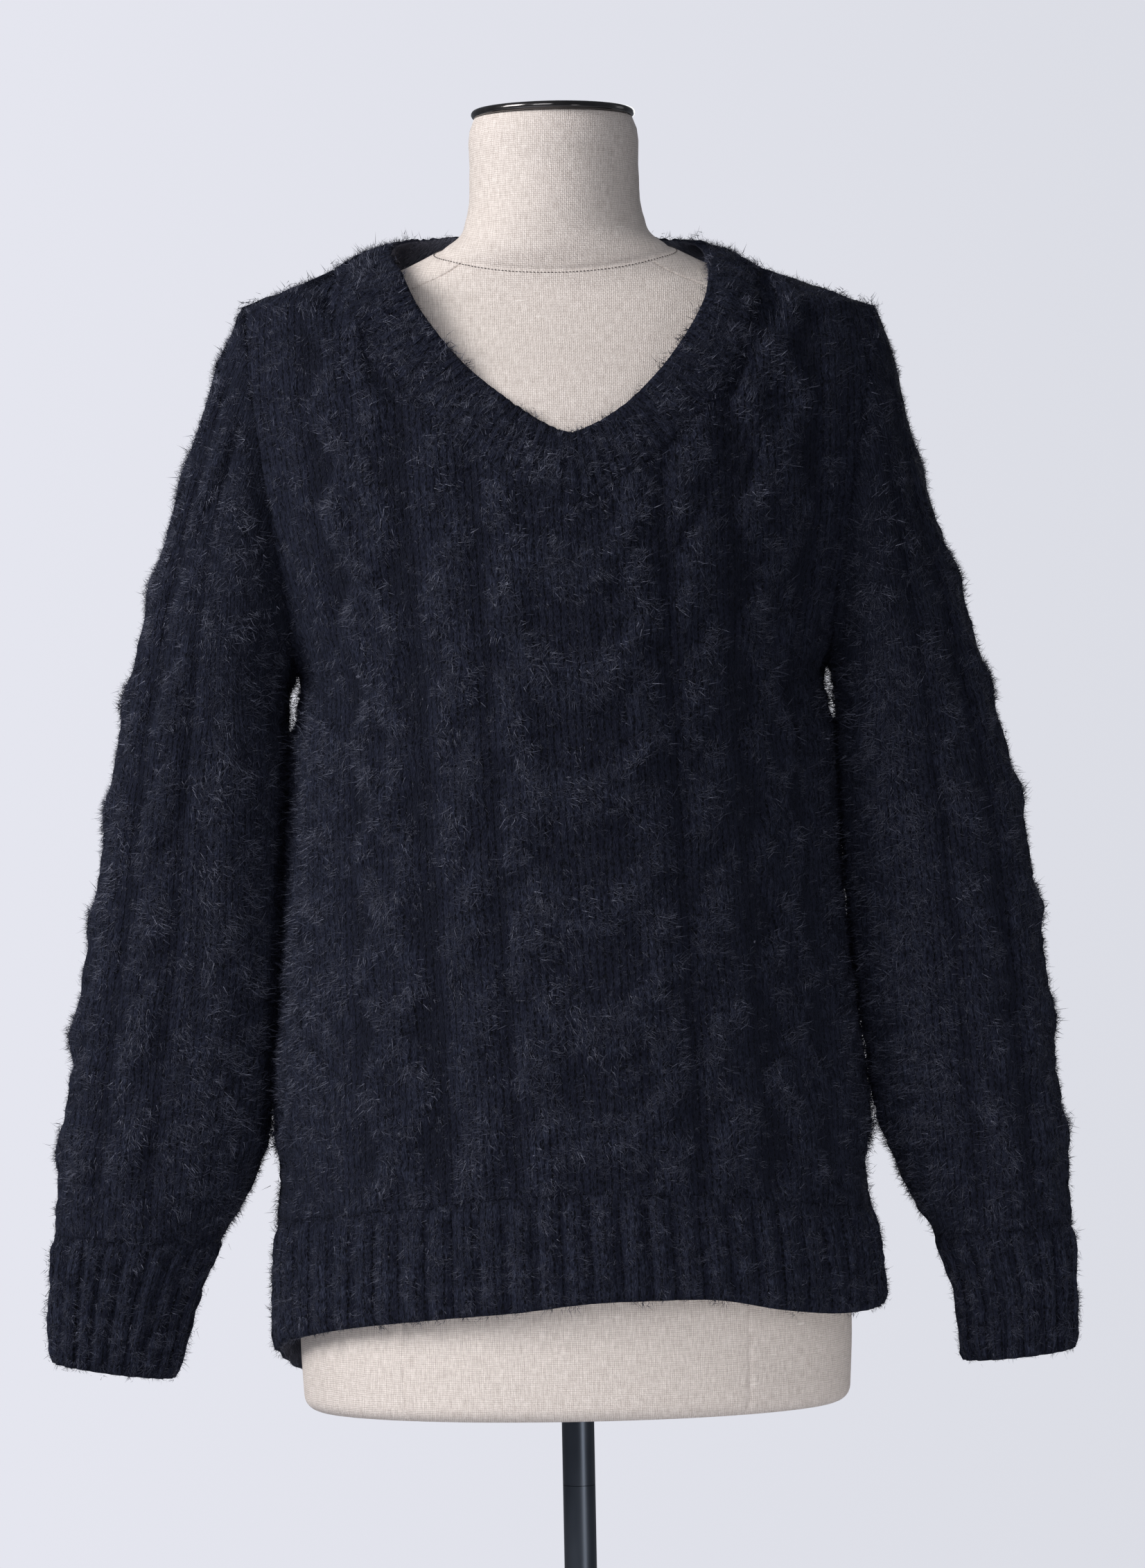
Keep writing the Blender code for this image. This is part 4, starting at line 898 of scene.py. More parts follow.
    def set_edges(self):
        """Keeps the edges apart from the next piece, and turns their walls square to the seams."""
        grid, side = self.grid, self.side
        grid[..., 1] = side * np.maximum(side * grid[..., 1], GAP / 2)
        outwards = grid * PANEL_FACING
        outwards[..., 2] = SHOULDER_FACING * (grid[..., 2] > SHOULDER_FROM)
        normals = grid_normals(grid, outwards)
        for column, half in ((0, -1), (-1, 1)):
            hole = armhole(half)
            low = np.array([half * hole["under_x"], 0, hole["under_z"]])
            up = np.array([half * hole["tip_x"], 0, hole["tip_z"]]) - low
            rise = np.linalg.norm(up)
            for row, point in enumerate(grid[:, column]):
                if point[2] < hole["under_z"] - UNDERARM_TURN:
                    normals[row, column] = (half, 0, 0)
                    continue
                turn = np.clip(2 * (point - low) @ up / rise**2 - 1, -1, 1)
                reach = hole["front"] if side < 0 else hole["back"]
                outward = np.array([0, side, 0]) * np.sqrt(1 - turn**2) / reach
                normals[row, column] = unit(up * turn * 2 / rise**2 + outward)
                share = (point[2] - low[2]) / up[2]
                grid[row, column, 0] = low[0] + share * up[0] - half * GAP / 2
        for column in range(1, grid.shape[1] - 1):
            if self.left_corner < column < self.right_corner:
                grid[-1, column], normals[-1, column] = neckline.seam(self.ends[column])
            else:
                half = self.halves[column]
                normals[-1, column] = unit(np.array([half * shoulder_slope(half), 0, 1.0]))
        for column in (self.left_corner, self.right_corner):
            _, normal = neckline.seam(self.ends[column])
            normals[-1, column] = unit(normal * (1, 0, 1))
        self.normals = self.eased(normals)

    def eased(self, normals):
        """Lets the normals of the edges run out over the next few columns and rows."""
        for _ in range(EASING):
            middle = normals.copy()
            middle[1:-1, 1:-1] += neighbours(normals)
            normals = unit(middle)
        return normals

    def measure(self, point):
        """How far from the centre line a point of the panel lies."""
        index = int(np.clip(np.searchsorted(self.heights, point[2]), 0, FINE - 1))
        return np.interp(point[0], self.sections[index][:, 0], self.across[index])

    def build(self, name):
        """The panel's wall, with its pattern raised."""
        across = np.array([[self.measure(point) for point in row] for row in self.grid])
        height = self.grid[..., 2]
        relief = softened(body_relief(across, height), 2)
        columns = self.grid.shape[1] - 1
        low, reach = SIDE_SETTLES
        above = np.clip((height - ARMHOLES["under_z"][0] - low) / reach, 0, 1)
        beside = near_edge(columns, SIDE_COLUMNS, SIDE_COLUMNS).T
        relief = settled(relief, np.maximum(near_edge(PANEL_ROWS, *PANEL_SETTLES), beside * above))
        swell = beside * swelling(height)
        relief = settled(relief, np.clip(swell, 0, 1), TOUCHING_LEVEL)
        outer, inner = layered(self.grid, self.normals, relief, creased(name, across, height) + swell)
        return make_wall(name, outer, inner, np.stack([across, height], -1), relief)


front = Panel(-1)
back = Panel(1)
front_piece = front.build("knit_front")
back_piece = back.build("knit_back")

# %% [markdown]
# ## The ribs
#
# The hem, the cuffs and the neckband are knitted in rib, which pulls in and stands up in rounded ridges.
# Each follows the edge of the piece that it was knitted onto. A panel's edge is read at even steps, and
# the rib runs down from it to the hem's own line, which hangs lower at the back.

# %% The hem's ribs
RIB_PITCH = 16.8  # one raised rib and one sunk rib
RIB_STEP = 2.3
RIB_ROWS = 18
RIB_FADE = 3  # rows over which the ribs rise out of the plain knit above
EDGE_SINK = (1.0, 0.85, 0.5)  # how full the last rows are, which round in to a free edge


def even_steps(values, along, count):
    """The values of an edge read at an even number of steps along it."""
    even = np.linspace(0, along[-1], count + 1)
    return np.stack([np.interp(even, along, values[:, k]) for k in range(values.shape[1])], 1)


def even_count(length, step):
    return 2 * round(length / step / 2)


def hem_point(side, point, height):
    """The body's surface below a point of the rib's top edge, keeping its share of the width."""
    upper, lower = section(side, point[2]), section(side, height)
    along, below = lengths_along(upper), lengths_along(lower)
    share = np.interp(point[0], upper[:, 0], along) / along[-1]
    placed = [np.interp(share * below[-1], below, lower[:, k]) for k in range(2)]
    exact = [np.interp(share * along[-1], along, upper[:, k]) for k in range(2)]
    return np.array([placed[0] + point[0] - exact[0], placed[1] + point[1] - exact[1], height])


def rounded_edge(relief):
    """Lets the last rows, at a free edge, sink towards its lip."""
    for k, share in enumerate(EDGE_SINK):
        relief[k - len(EDGE_SINK)] *= share
    return relief


def ribbed_wall(name, reach, normals, start, length, pitch, ring=False):
    """A wall of rib that hangs from its top edge, which has this start and length along the knit."""
    rows, columns = reach.shape[0] - 1, reach.shape[1] - 1
    across = np.linspace(start, start + length, columns + 1)
    ribs = rib_relief(across, length / round(length / pitch))
    relief = settled(np.repeat(ribs[None], rows + 1, 0), near_edge(rows, RIB_FADE, 0))
    relief = rounded_edge(relief)
    outer, inner = layered(reach, np.broadcast_to(normals, reach.shape), relief)
    flat = np.stack([np.broadcast_to(across, relief.shape), reach[..., 2]], -1)
    return make_wall(name, outer, inner, flat, relief, ring)


def make_hem_rib(name, panel):
    """The ribbed hem below one panel."""
    along = lengths_along(panel.grid[0])
    count = even_count(along[-1], RIB_STEP)
    tops = even_steps(panel.grid[0], along, count)
    facings = unit(even_steps(panel.normals[0], along, count))
    tops[:, 2] += SEAM_LAP
    rows = []
    for share in np.linspace(0, 1, RIB_ROWS + 1):
        heights = [p[2] + share * (hem_at(facing(p), "edge") - p[2]) for p in tops]
        rows.append([hem_point(panel.side, p, height) for p, height in zip(tops, heights)])
    reach = np.array(rows)
    reach[..., 1] = panel.side * np.maximum(panel.side * reach[..., 1], GAP / 2)
    return ribbed_wall(name, reach, facings, -along[-1] / 2, along[-1], RIB_PITCH)


front_hem_piece = make_hem_rib("knit_front_hem", front)
back_hem_piece = make_hem_rib("knit_back_hem", back)

# %% [markdown]
# The neckband runs round the neck's loop, with its ribs across it, and rolls over at its free edge.

# %% The neckband
BAND_RIB_PITCH = 8.6
BAND_STEP = 1.9
BAND_ROWS = 12
BAND_LIFT = (0.6, 0.9, 0.5)  # how full the band is at its seam, its middle and its free edge
BAND_ROUND = 0.7
BAND_STANDS = 3.5  # how much higher the band stands at the back of the neck ...
BAND_BACK = (-30.0, 10.0)  # ... from the first of these depths on, and in full at the second
BAND_SLANT = 0.45  # how far a rib leans towards the upright for each millimetre of the band's width


def make_neckband():
    middles = (neckline.outer + neckline.inner) / 2
    along = lengths_along(middles)
    count = even_count(along[-1], BAND_STEP)
    edge, lip, normals = (
        even_steps(values, along, count) for values in (neckline.outer, neckline.inner, neckline.normals)
    )
    edge, normals = edge - SEAM_LAP * unit(lip - edge), unit(normals)
    upright = np.interp(lip[:, 1], BAND_BACK, (0, 1))
    edge[:, 2] += 0.5 * BAND_STANDS * upright
    lip[:, 2] += BAND_STANDS * upright
    for values in (edge, lip, normals):
        values[-1] = values[0]
    shares = np.linspace(0, 1, BAND_ROWS + 1)
    reach = edge + shares[:, None, None] * (lip - edge)
    lift = np.interp(shares, (0, 0.5, 1), BAND_LIFT)[:, None]
    across = np.linspace(0, along[-1], count + 1)
    width = shares[:, None] * np.linalg.norm(lip - edge, axis=1).mean()
    # The ribs of the V lean one way on the right and the other way on the left.
    leaning = BAND_SLANT * width * np.sin(2 * np.pi * across / along[-1])
    turns = round(along[-1] / BAND_RIB_PITCH)
    ribs = 0.5 + 0.5 * np.cos(2 * np.pi * turns * (across + leaning) / along[-1])
    relief = settled(lift * (0.5 + 0.5 * ribs**BAND_ROUND), near_edge(BAND_ROWS, RIB_FADE, 0))
    relief = rounded_edge(relief)
    outer, inner = layered(reach, np.broadcast_to(normals, reach.shape), relief)
    flat = np.stack(np.broadcast_arrays(across, width), -1)
    return make_wall("knit_neckband", outer, inner, flat, relief, ring=True)


neckband_piece = make_neckband()

# %% [markdown]
# ## The sleeves and their cuffs
#
# A sleeve is a stack of ovals from the armhole down to the cuff. Its pattern is laid out from the line
# that faces outwards, round to the line under the arm, where the seam is.

# %% Sections of a sleeve
SLEEVE_STEP = 3.6
SLEEVE_UNDER = 14  # columns past the pattern, on each half, under the arm
SLEEVE_ROWS = 150
SLEEVE_SETTLES = {"left": (10, 6), "right": (30, 6)}  # rows over which the cables rise and settle
SLEEVE_CALM = 12  # rows at each end that creases keep off, which meet the armhole and the cuff
SLEEVE_BESIDE = 30.0  # the least that a section has round it beyond the last ridge, before it is squeezed
UNDER_FROM = 100.0  # degrees from the outer line at which the side that faces the body begins ...
UNDER_FULL = 150.0  # ... and at which it swells in full
CUFF_SECTION = 12  # row of the table at which the cuff begins


def sleeve_section(sections, place):
    """Middle, half axis and depths of the sleeve's oval at a place given in rows of its table."""
    rows = np.arange(len(sections["out_x"]), dtype=float)
    read = {key: smooth(rows, values, place) for key, values in sections.items()}
    out = np.array([read["out_x"], 0, read["out_z"]])
    inside = np.array([read["in_x"], 0, read["in_z"]])
    return (out + inside) / 2, (out - inside) / 2, read["front"], read["back"]


def oval(sections, place, angles):
    """Points and in-plane normals round the sleeve. Angle 0 faces outwards, 90 forwards."""
    middle, axis, front_reach, back_reach = sleeve_section(sections, place)
    depth = np.where(np.sin(angles) > 0, front_reach, back_reach)
    points = middle + np.cos(angles)[:, None] * axis
    points[:, 1] -= depth * np.sin(angles)
    normals = np.cos(angles)[:, None] * axis / (axis @ axis)
    normals[:, 1] -= np.sin(angles) / depth
    return points, unit(normals)


def sleeve_angles(sections, place):
    """Angles of the sleeve's columns: at the pattern's distances, then evenly to the inner end."""
    half = np.linspace(0, np.pi, 181)
    turned = []
    for way in (1, -1):
        points, _ = oval(sections, place, way * half)
        along = lengths_along(points)
        squeeze = min(1.0, along[-1] / (SLEEVE_RIDGE + SLEEVE_BESIDE))
        wanted = np.arange(0, SLEEVE_RIDGE + 0.1, SLEEVE_STEP) * squeeze
        rest = np.linspace(wanted[-1], along[-1], SLEEVE_UNDER + 1)[1:]
        wanted = np.concatenate([wanted, rest])
        turned.append((way * np.interp(wanted, along, half), wanted))
    (front_angles, front_at), (back_angles, back_at) = turned
    angles = np.concatenate([back_angles[::-1], front_angles[1:]])
    return angles, np.concatenate([-back_at[::-1], front_at[1:]])


def sleeve_places(sections):
    """Places of the sleeve's rows, evenly spaced along its outer line."""
    fine = np.linspace(0, CUFF_SECTION, 481)
    outer = np.array([sum(sleeve_section(sections, place)[:2]) for place in fine])
    along = lengths_along(outer)
    return np.interp(np.linspace(0, along[-1], SLEEVE_ROWS + 1), along, fine)


def make_sleeve(side):
    """A sleeve from the armhole to the cuff, set off the body by the seam's gap."""
    sections = SLEEVES[side]
    half = -1 if side == "left" else 1
    places = sleeve_places(sections)
    reach, normals, across, turns = [], [], [], []
    for place in places:
        angles, distances = sleeve_angles(sections, place)
        points, facings = oval(sections, place, angles)
        points[:, 0] += half * GAP / 2
        reach.append(points)
        normals.append(facings)
        across.append(distances)
        turns.append(np.degrees(np.abs(angles)))
    reach, normals, across, turns = (np.array(rows) for rows in (reach, normals, across, turns))
    reach[0, :, 0] -= half * (GAP + SEAM_LAP)
    height = reach[..., 2]
    relief = softened(sleeve_relief(across, height), 2)
    relief = settled(relief, near_edge(SLEEVE_ROWS, *SLEEVE_SETTLES[side]))
    swell = np.interp(turns, (UNDER_FROM, UNDER_FULL), (0, 1)) * swelling(height)
    relief = settled(relief, np.clip(swell, 0, 1), TOUCHING_LEVEL)
    away = 1 - near_edge(SLEEVE_ROWS, SLEEVE_CALM, SLEEVE_CALM)
    rise = creased("knit_sleeve_" + side, across, height) * away + swell
    outer, inner = layered(reach, normals, relief, rise)
    flat = np.stack([across, height], -1)
    piece = make_wall("knit_sleeve_" + side, outer, inner, flat, relief, ring=True)
    return piece, reach[-1], normals[-1]


sleeve_pieces = {side: make_sleeve(side) for side in ("left", "right")}

# %% Cuffs
CUFF_RIB_PITCH = 14.0
CUFF_STEP = 1.9
CUFF_ROWS = 20


def make_cuff(side):
    """A ribbed cuff. Its top edge follows the sleeve's last row."""
    sections = SLEEVES[side]
    half = -1 if side == "left" else 1
    _, top, top_normals = sleeve_pieces[side]
    last = len(sections["out_x"]) - 1.0
    angles, _ = sleeve_angles(sections, float(CUFF_SECTION))
    along = lengths_along(top)
    count = even_count(along[-1], CUFF_STEP)
    edge, facings = even_steps(top, along, count), unit(even_steps(top_normals, along, count))
    turns = even_steps(angles[:, None], along, count)[:, 0]
    rows, normals = [edge + (0, 0, SEAM_LAP)], [facings]
    for share in np.linspace(0, 1, CUFF_ROWS + 1)[1:]:
        points, facing_out = oval(sections, CUFF_SECTION + share * (last - CUFF_SECTION), turns)
        points[:, 0] += half * GAP / 2
        rows.append(points)
        normals.append(facing_out)
    reach, normals = np.array(rows), np.array(normals)
    return ribbed_wall("knit_cuff_" + side, reach, normals, 0.0, along[-1], CUFF_RIB_PITCH, ring=True)


cuff_pieces = {side: make_cuff(side) for side in ("left", "right")}

# %% [markdown]
# ## The dress form
#
# The form is a padded torso covered in tight linen, with seams from the bust down to the hips and one
# round the base of the neck. The torso is a stack of rounded sections. Its seams are shallow grooves in
# the mesh, which is finest there, and its bottom edge is rounded over.

# %% The torso
# The dress form, from its flat bottom to its neck: half width, reach to front and back, and how
# full each section is (2 is an ellipse, less is more pointed at the shoulders).
FORM = table(
    "height half_width front back fullness",
    (400.0, 161.0, 105.0, 106.0, 2.1),
    (450.0, 163.0, 107.0, 107.0, 2.1),
    (520.0, 157.0, 105.0, 103.0, 2.0),
    (600.0, 143.0, 99.0, 96.0, 2.0),
    (700.0, 120.0, 92.0, 84.0, 2.0),
    (770.0, 130.0, 103.0, 88.0, 2.0),
    (830.0, 143.0, 117.0, 92.0, 2.0),
    (870.0, 149.0, 117.0, 92.0, 2.0),
    (943.0, 158.0, 103.0, 86.0, 1.9),
    (1000.0, 170.0, 85.0, 71.0, 1.6),
    (1030.0, 174.0, 61.0, 54.0, 1.2),
    (1044.0, 171.0, 52.0, 48.0, 1.1),
    (1055.8, 148.0, 46.0, 44.0, 1.1),
    (1067.0, 106.0, 45.0, 44.0, 1.35),
    (1080.0, 75.0, 48.0, 45.0, 1.75),
    (1090.0, 58.0, 48.5, 46.0, 2.0),
    (1102.0, 52.5, 49.0, 47.0, 2.0),
    (1130.0, 50.0, 47.5, 46.5, 2.0),
    (1157.5, 48.2, 46.2, 45.5, 2.0),
    (1160.5, 46.8, 45.0, 44.4, 2.0),
)
FORM_BASE = 400.0
FORM_EDGE = 9.0  # radius of the torso's lower edge
FORM_SIDES = 144
SEAM_ANGLES = (-128.0, -52.0, 52.0, 128.0)  # of the upright seams; 0 faces right, -90 faces forwards
SEAM_SPREAD = (-3.2, -1.6, -0.8, 0.0, 0.8, 1.6, 3.2)  # columns beside a seam, in millimetres
SEAM_CLEAR = 1.2  # millimetres from those columns within which no other one stands
SEAM_DEPTH = 0.9
SEAM_WIDTH = 1.1
SEAM_RADIUS = 130.0
NECK_SEAM_TILT = 0.8  # how much of a height beside the neck's seam counts as distance from it
FORM_BANDS = (
    # lowest row, highest row, rows: finest round the neck's seam, coarse where the knit hides the linen
    (FORM_BASE + FORM_EDGE, 480, 10),
    (495, 900, 22),
    (906, 1056, 32),
    (1057, 1101, 45),
    (1104, FORM["height"][-1], 9),
)
FOOT_SHARES = (0.15, 0.4, 0.7, 0.9)  # how far out the rows of the underside lie
FOOT_TURNS = 6
STITCHES_BELOW = 1.6  # the line of stitches runs this far below the neck's seam ...
STITCHES_PROUD = 0.1  # ... and stands this far off the linen
NECK_SEAM = table(
    "angle height",
    (-180, 1085),
    (-140, 1077),
    (-90, 1067),
    (-40, 1077),
    (0, 1085),
    (90, 1096),
    (180, 1085),
)


def form_section(height, angles):
    """Points of the dress form at one height, by their angle from the right."""
    read = {key: smooth(FORM["height"], values, height) for key, values in FORM.items()}
    out, back_by = np.cos(angles), np.sin(angles)
    depth = np.where(back_by < 0, read["front"], read["back"])
    y = np.sign(back_by) * depth * np.abs(back_by) ** (2 / read["fullness"])
    return np.stack([read["half_width"] * out, y, np.full(len(angles), height)], 1)


def form_angles():
    """Even angles, and closer ones beside each upright seam."""
    near = [np.radians(a) + s / SEAM_RADIUS for a in SEAM_ANGLES for s in SEAM_SPREAD]
    even = np.linspace(-np.pi, np.pi, FORM_SIDES, endpoint=False)
    clear = [a for a in even if min(abs(a - n) for n in near) > SEAM_CLEAR / SEAM_RADIUS]
    return np.sort(np.concatenate([near, clear]))


def linen_map(rows, angles):
    """Each corner's place on the linen, which is cut with its threads upright at the middle."""
    closed = np.concatenate([rows, rows[:, :1]], 1)
    turns = np.append(angles, angles[0] + 2 * np.pi)
    front = int(np.argmin(np.abs(turns + np.pi / 2)))
    up = np.repeat(lengths_along(closed[:, front])[:, None], len(turns), 1)
    around = np.array([lengths_along(row) for row in closed])
    maps = []
    for middle in (-np.pi / 2, np.pi / 2):
        start = np.array([np.interp(middle, turns, row) for row in around])
        maps.append(quads(np.stack([around - start[:, None], up], -1)))
    on_front = np.tile((turns[:-1] + turns[1:]) / 2 < 0, len(rows) - 1)
    return np.where(on_front[:, None, None], *maps).reshape(-1, 2)


def make_torso():
    angles = form_angles()
    heights = np.concatenate([np.linspace(*band) for band in FORM_BANDS])
    grid = np.array([form_section(height, angles) for height in heights])
    normals = grid_normals(grid, grid * (1, 1, 0))
    upright = np.array([np.min(np.abs(a - np.radians(SEAM_ANGLES))) for a in angles]) * SEAM_RADIUS
    seam_at = smooth(NECK_SEAM["angle"], NECK_SEAM["height"], np.degrees(angles))
    level = np.abs(grid[..., 2] - seam_at) * NECK_SEAM_TILT
    below = grid[..., 2] < seam_at
    groove = np.exp(-((level / SEAM_WIDTH) ** 2)) + below * np.exp(-((upright / SEAM_WIDTH) ** 2))
    grid = grid - SEAM_DEPTH * np.clip(groove, 0, 1)[..., None] * normals
    # The lower edge turns in round a quarter circle, and the underside is drawn in to the middle.
    turn = np.linspace(0, np.pi / 2, FOOT_TURNS + 1)[:0:-1]
    foot = grid[0]
    inwards = unit(foot * (1, 1, 0))
    lower = [foot - FORM_EDGE * (1 - np.cos(t)) * inwards - (0, 0, FORM_EDGE * np.sin(t)) for t in turn]
    shrunk = [lower[0] * (share, share, 1) for share in FOOT_SHARES]
    rows = np.concatenate([np.array(shrunk + lower), grid])
    count, sides = rows.shape[:2]
    index = np.arange(count)[:, None] * sides + np.arange(sides + 1) % sides
    points = rows.reshape(-1, 3)
    faces = quads(index).tolist() + [tuple(index[0, :-1])[::-1], tuple(index[-1, :-1])]
    piece = add_mesh("linen_torso", points, faces, sharp=50)
    ends = [points[list(face)][:, :2] for face in faces[-2:]]
    flat = piece.data.uv_layers.new(name="cloth")
    flat.data.foreach_set("uv", (np.concatenate([linen_map(rows, angles), *ends]) * MM).reshape(-1))
    print("linen_torso has", len(points), "points")
    return piece


torso_piece = make_torso()

# %% [markdown]
# ### Stitches along the neck's seam
#
# The seam at the base of the neck is topstitched. A stitch is one small bead of thread, and a Geometry
# Nodes tree sets one at every step along a line on the linen. The line is a curve, the bead is made in
# the tree, and the step, length and thickness are named inputs. Setting them by hand would take some
# 180 copies, while the tree needs only the line.

# %% Helpers for node trees
class Wire:
    """One output of a node. Sums and products of wires are Math nodes."""

    def __init__(self, node, key=0):
        self.node, self.key = node, key

    def span(self, low, high, to_low=0.0, to_high=1.0):
        """Takes the value from one span of numbers to another, and holds it within the second."""
        return Wire(add(self.node.id_data, "ShaderNodeMapRange", self, low, high, to_low, to_high))


def join(value, socket):
    """Gives a socket a value, or joins a wire to it."""
    if isinstance(value, Wire):
        socket.id_data.links.new(value.node.outputs[value.key], socket)
    else:
        socket.default_value = value


def feed(node, *values, **named):
    """Gives a node its settings, whose names are small, and its inputs, in order or by name."""
    for name in filter(str.islower, named):
        setattr(node, name, named[name])
    for key, value in enumerate(values):
        join(value, node.inputs[key])
    for name, value in named.items():
        if not name.islower():
            join(value, node.inputs[name.replace("_", " ")])
    return node


def add(tree, kind, *values, **named):
    return feed(tree.nodes.new(kind), *values, **named)


def wires(node):
    return {socket.name: Wire(node, socket.name) for socket in node.outputs}


def math(operation, *values, clamp=False):
    """A Math node, from wires and numbers."""
    tree = next(value.node.id_data for value in values if isinstance(value, Wire))
    return Wire(add(tree, "ShaderNodeMath", *values, operation=operation, use_clamp=clamp))


OPERATORS = {"add": "ADD", "sub": "SUBTRACT", "mul": "MULTIPLY", "truediv": "DIVIDE", "pow": "POWER"}
for method, operation in OPERATORS.items():
    setattr(Wire, f"__{method}__", lambda wire, other, kind=operation: math(kind, wire, other))
    setattr(Wire, f"__r{method}__", lambda wire, other, kind=operation: math(kind, other, wire))
Wire.__abs__ = lambda wire: math("ABSOLUTE", wire)


def noise(tree, vector, scale, detail=2.0, roughness=0.5, distortion=0.0):
    """Noise at the places given. In a Geometry Nodes tree None stands for each point's own place."""
    place = {"Vector": vector} if vector else {}
    settings = {"Scale": scale, "Detail": detail, "Roughness": roughness, "Distortion": distortion}
    return Wire(add(tree, "ShaderNodeTexNoise", **place, **settings))


def new_tree(name, kind, inputs, outputs):
    """A tree with named inputs and outputs. A number is an input's value, and a word is its kind."""
    tree = bpy.data.node_groups.new(name, kind + "NodeTree")
    for label, given in inputs.items():
        fixed = not isinstance(given, str)
        word = type(given).__name__.capitalize() if fixed else given
        socket = tree.interface.new_socket(label, in_out="INPUT", socket_type="NodeSocket" + word)
        if fixed:
            socket.default_value = given
    for label, word in outputs.items():
        tree.interface.new_socket(label, in_out="OUTPUT", socket_type="NodeSocket" + word)
    return tree, wires(tree.nodes.new("NodeGroupInput")), tree.nodes.new("NodeGroupOutput")


def paint_instances(tree, instances, finish, end):
    """Ends a tree: its instances become one mesh with one material."""
    real = add(tree, "GeometryNodeRealizeInstances", Geometry=instances)
    feed(end, Geometry=Wire(add(tree, "GeometryNodeSetMaterial", Geometry=Wire(real), Material=finish)))
    return tree


def apply_tree(piece, tree, name, **values):
    """Runs the tree on a piece and gives the result as a new object with a plain mesh."""
    modifier = piece.modifiers.new(tree.name, "NODES")
    modifier.node_group = tree
    for item in tree.interface.items_tree:
        label = item.name.lower().replace(" ", "_")
        if item.item_type == "SOCKET" and item.in_out == "INPUT" and label in values:
            modifier[item.identifier] = values[label]
    bpy.context.view_layer.update()
    graph = bpy.context.evaluated_depsgraph_get()
    shaped = piece.evaluated_get(graph)
    mesh = bpy.data.meshes.new_from_object(shaped, preserve_all_data_layers=True, depsgraph=graph)
    mesh.name = name
    piece.modifiers.remove(modifier)
    print(name, "has", sum(len(face.vertices) - 2 for face in mesh.polygons), "triangles")
    return linked(name, mesh)


# %% A tree that sets stitches along a line
STITCH_STEP = 2.1 * MM
STITCH_LENGTH = 1.4 * MM
STITCH_THICKNESS = 0.6 * MM


def stitch_tree():
    """The tree that sets a bead of thread at every step along a curve."""
    inputs = {"Geometry": "Geometry", "Step": STITCH_STEP, "Length": STITCH_LENGTH}
    inputs |= {"Thickness": STITCH_THICKNESS, "Thread": "Material"}
    tree, entry, end = new_tree("stitches", "Geometry", inputs, {"Geometry": "Geometry"})
    line, step = entry["Geometry"], entry["Step"]
    points = wires(add(tree, "GeometryNodeCurveToPoints", mode="LENGTH", Curve=line, Length=step))
    bead = Wire(add(tree, "GeometryNodeMeshUVSphere", Segments=6, Rings=4, Radius=1.0))
    wide = entry["Thickness"] * 0.5
    size = Wire(add(tree, "ShaderNodeCombineXYZ", wide, wide, entry["Length"] * 0.5))
    settings = {"Points": points["Points"], "Rotation": points["Rotation"], "Scale": size}
    place = add(tree, "GeometryNodeInstanceOnPoints", Instance=bead, **settings)
    return paint_instances(tree, Wire(place), entry["Thread"], end)


def line_object(name, points, closed=False):
    """A plain curve through points in millimetres."""
    curve = bpy.data.curves.new(name, "CURVE")
    curve.dimensions = "3D"
    spline = curve.splines.new("POLY")
    spline.points.add(len(points) - 1)
    spline.points.foreach_set("co", np.column_stack([points * MM, np.ones(len(points))]).reshape(-1))
    spline.use_cyclic_u = closed
    return linked(name, curve)


def neck_seam_line():
    angles = np.linspace(-np.pi, np.pi, 241)[:-1]
    heights = smooth(NECK_SEAM["angle"], NECK_SEAM["height"], np.degrees(angles)) - STITCHES_BELOW
    points = np.concatenate([form_section(h, np.array([a])) for h, a in zip(heights, angles)])
    return points + STITCHES_PROUD * unit(points * (1, 1, 0))


def material(name):
    made = bpy.data.materials.new(name)
    made.use_nodes = True
    return made


FINISHES = ("knit", "hairs", "linen", "thread", "dark_chrome", "dark_steel", "base_steel")
MATERIALS = {name: material(name) for name in FINISHES}
stitching = stitch_tree()
seam_line = line_object("neck_seam_line", neck_seam_line(), closed=True)
seam_piece = apply_tree(seam_line, stitching, "neck_seam_stitches", thread=MATERIALS["thread"])
bpy.data.objects.remove(seam_line)

# %% [markdown]
# ## The cap and the stand
#
# The cap, its rim, the pole, the collar and the base are all turned on a lathe: one outline, swept once
# round the upright axis. Blender's Spin and Screw tools do the same. A short function is used here,
# because it also closes the tips with triangles and never leaves doubled points. It serves every
# turned piece, so only their outlines differ.

# %% Turned pieces
ROUND_SIDES = 96
TURNED_SHARP = 35.0  # degrees between two faces from which the edge between them is sharp
POLE_RADIUS = 9.6
POLE_JOINT = 352.0  # height where the form's own tube meets the stand's
BASE_RADIUS = 170.0
BASE_HEIGHT = 16.0
BASE_EDGE = 6.0  # height at which the base's side begins to round in
COLLAR_RADIUS = 21.0
COLLAR_HEIGHT = 26.0
CAP_RADIUS = 47.0
CAP_HEIGHT = 5.0
CAP_CROWN = 3.0
RIM_TUBE = 2.4


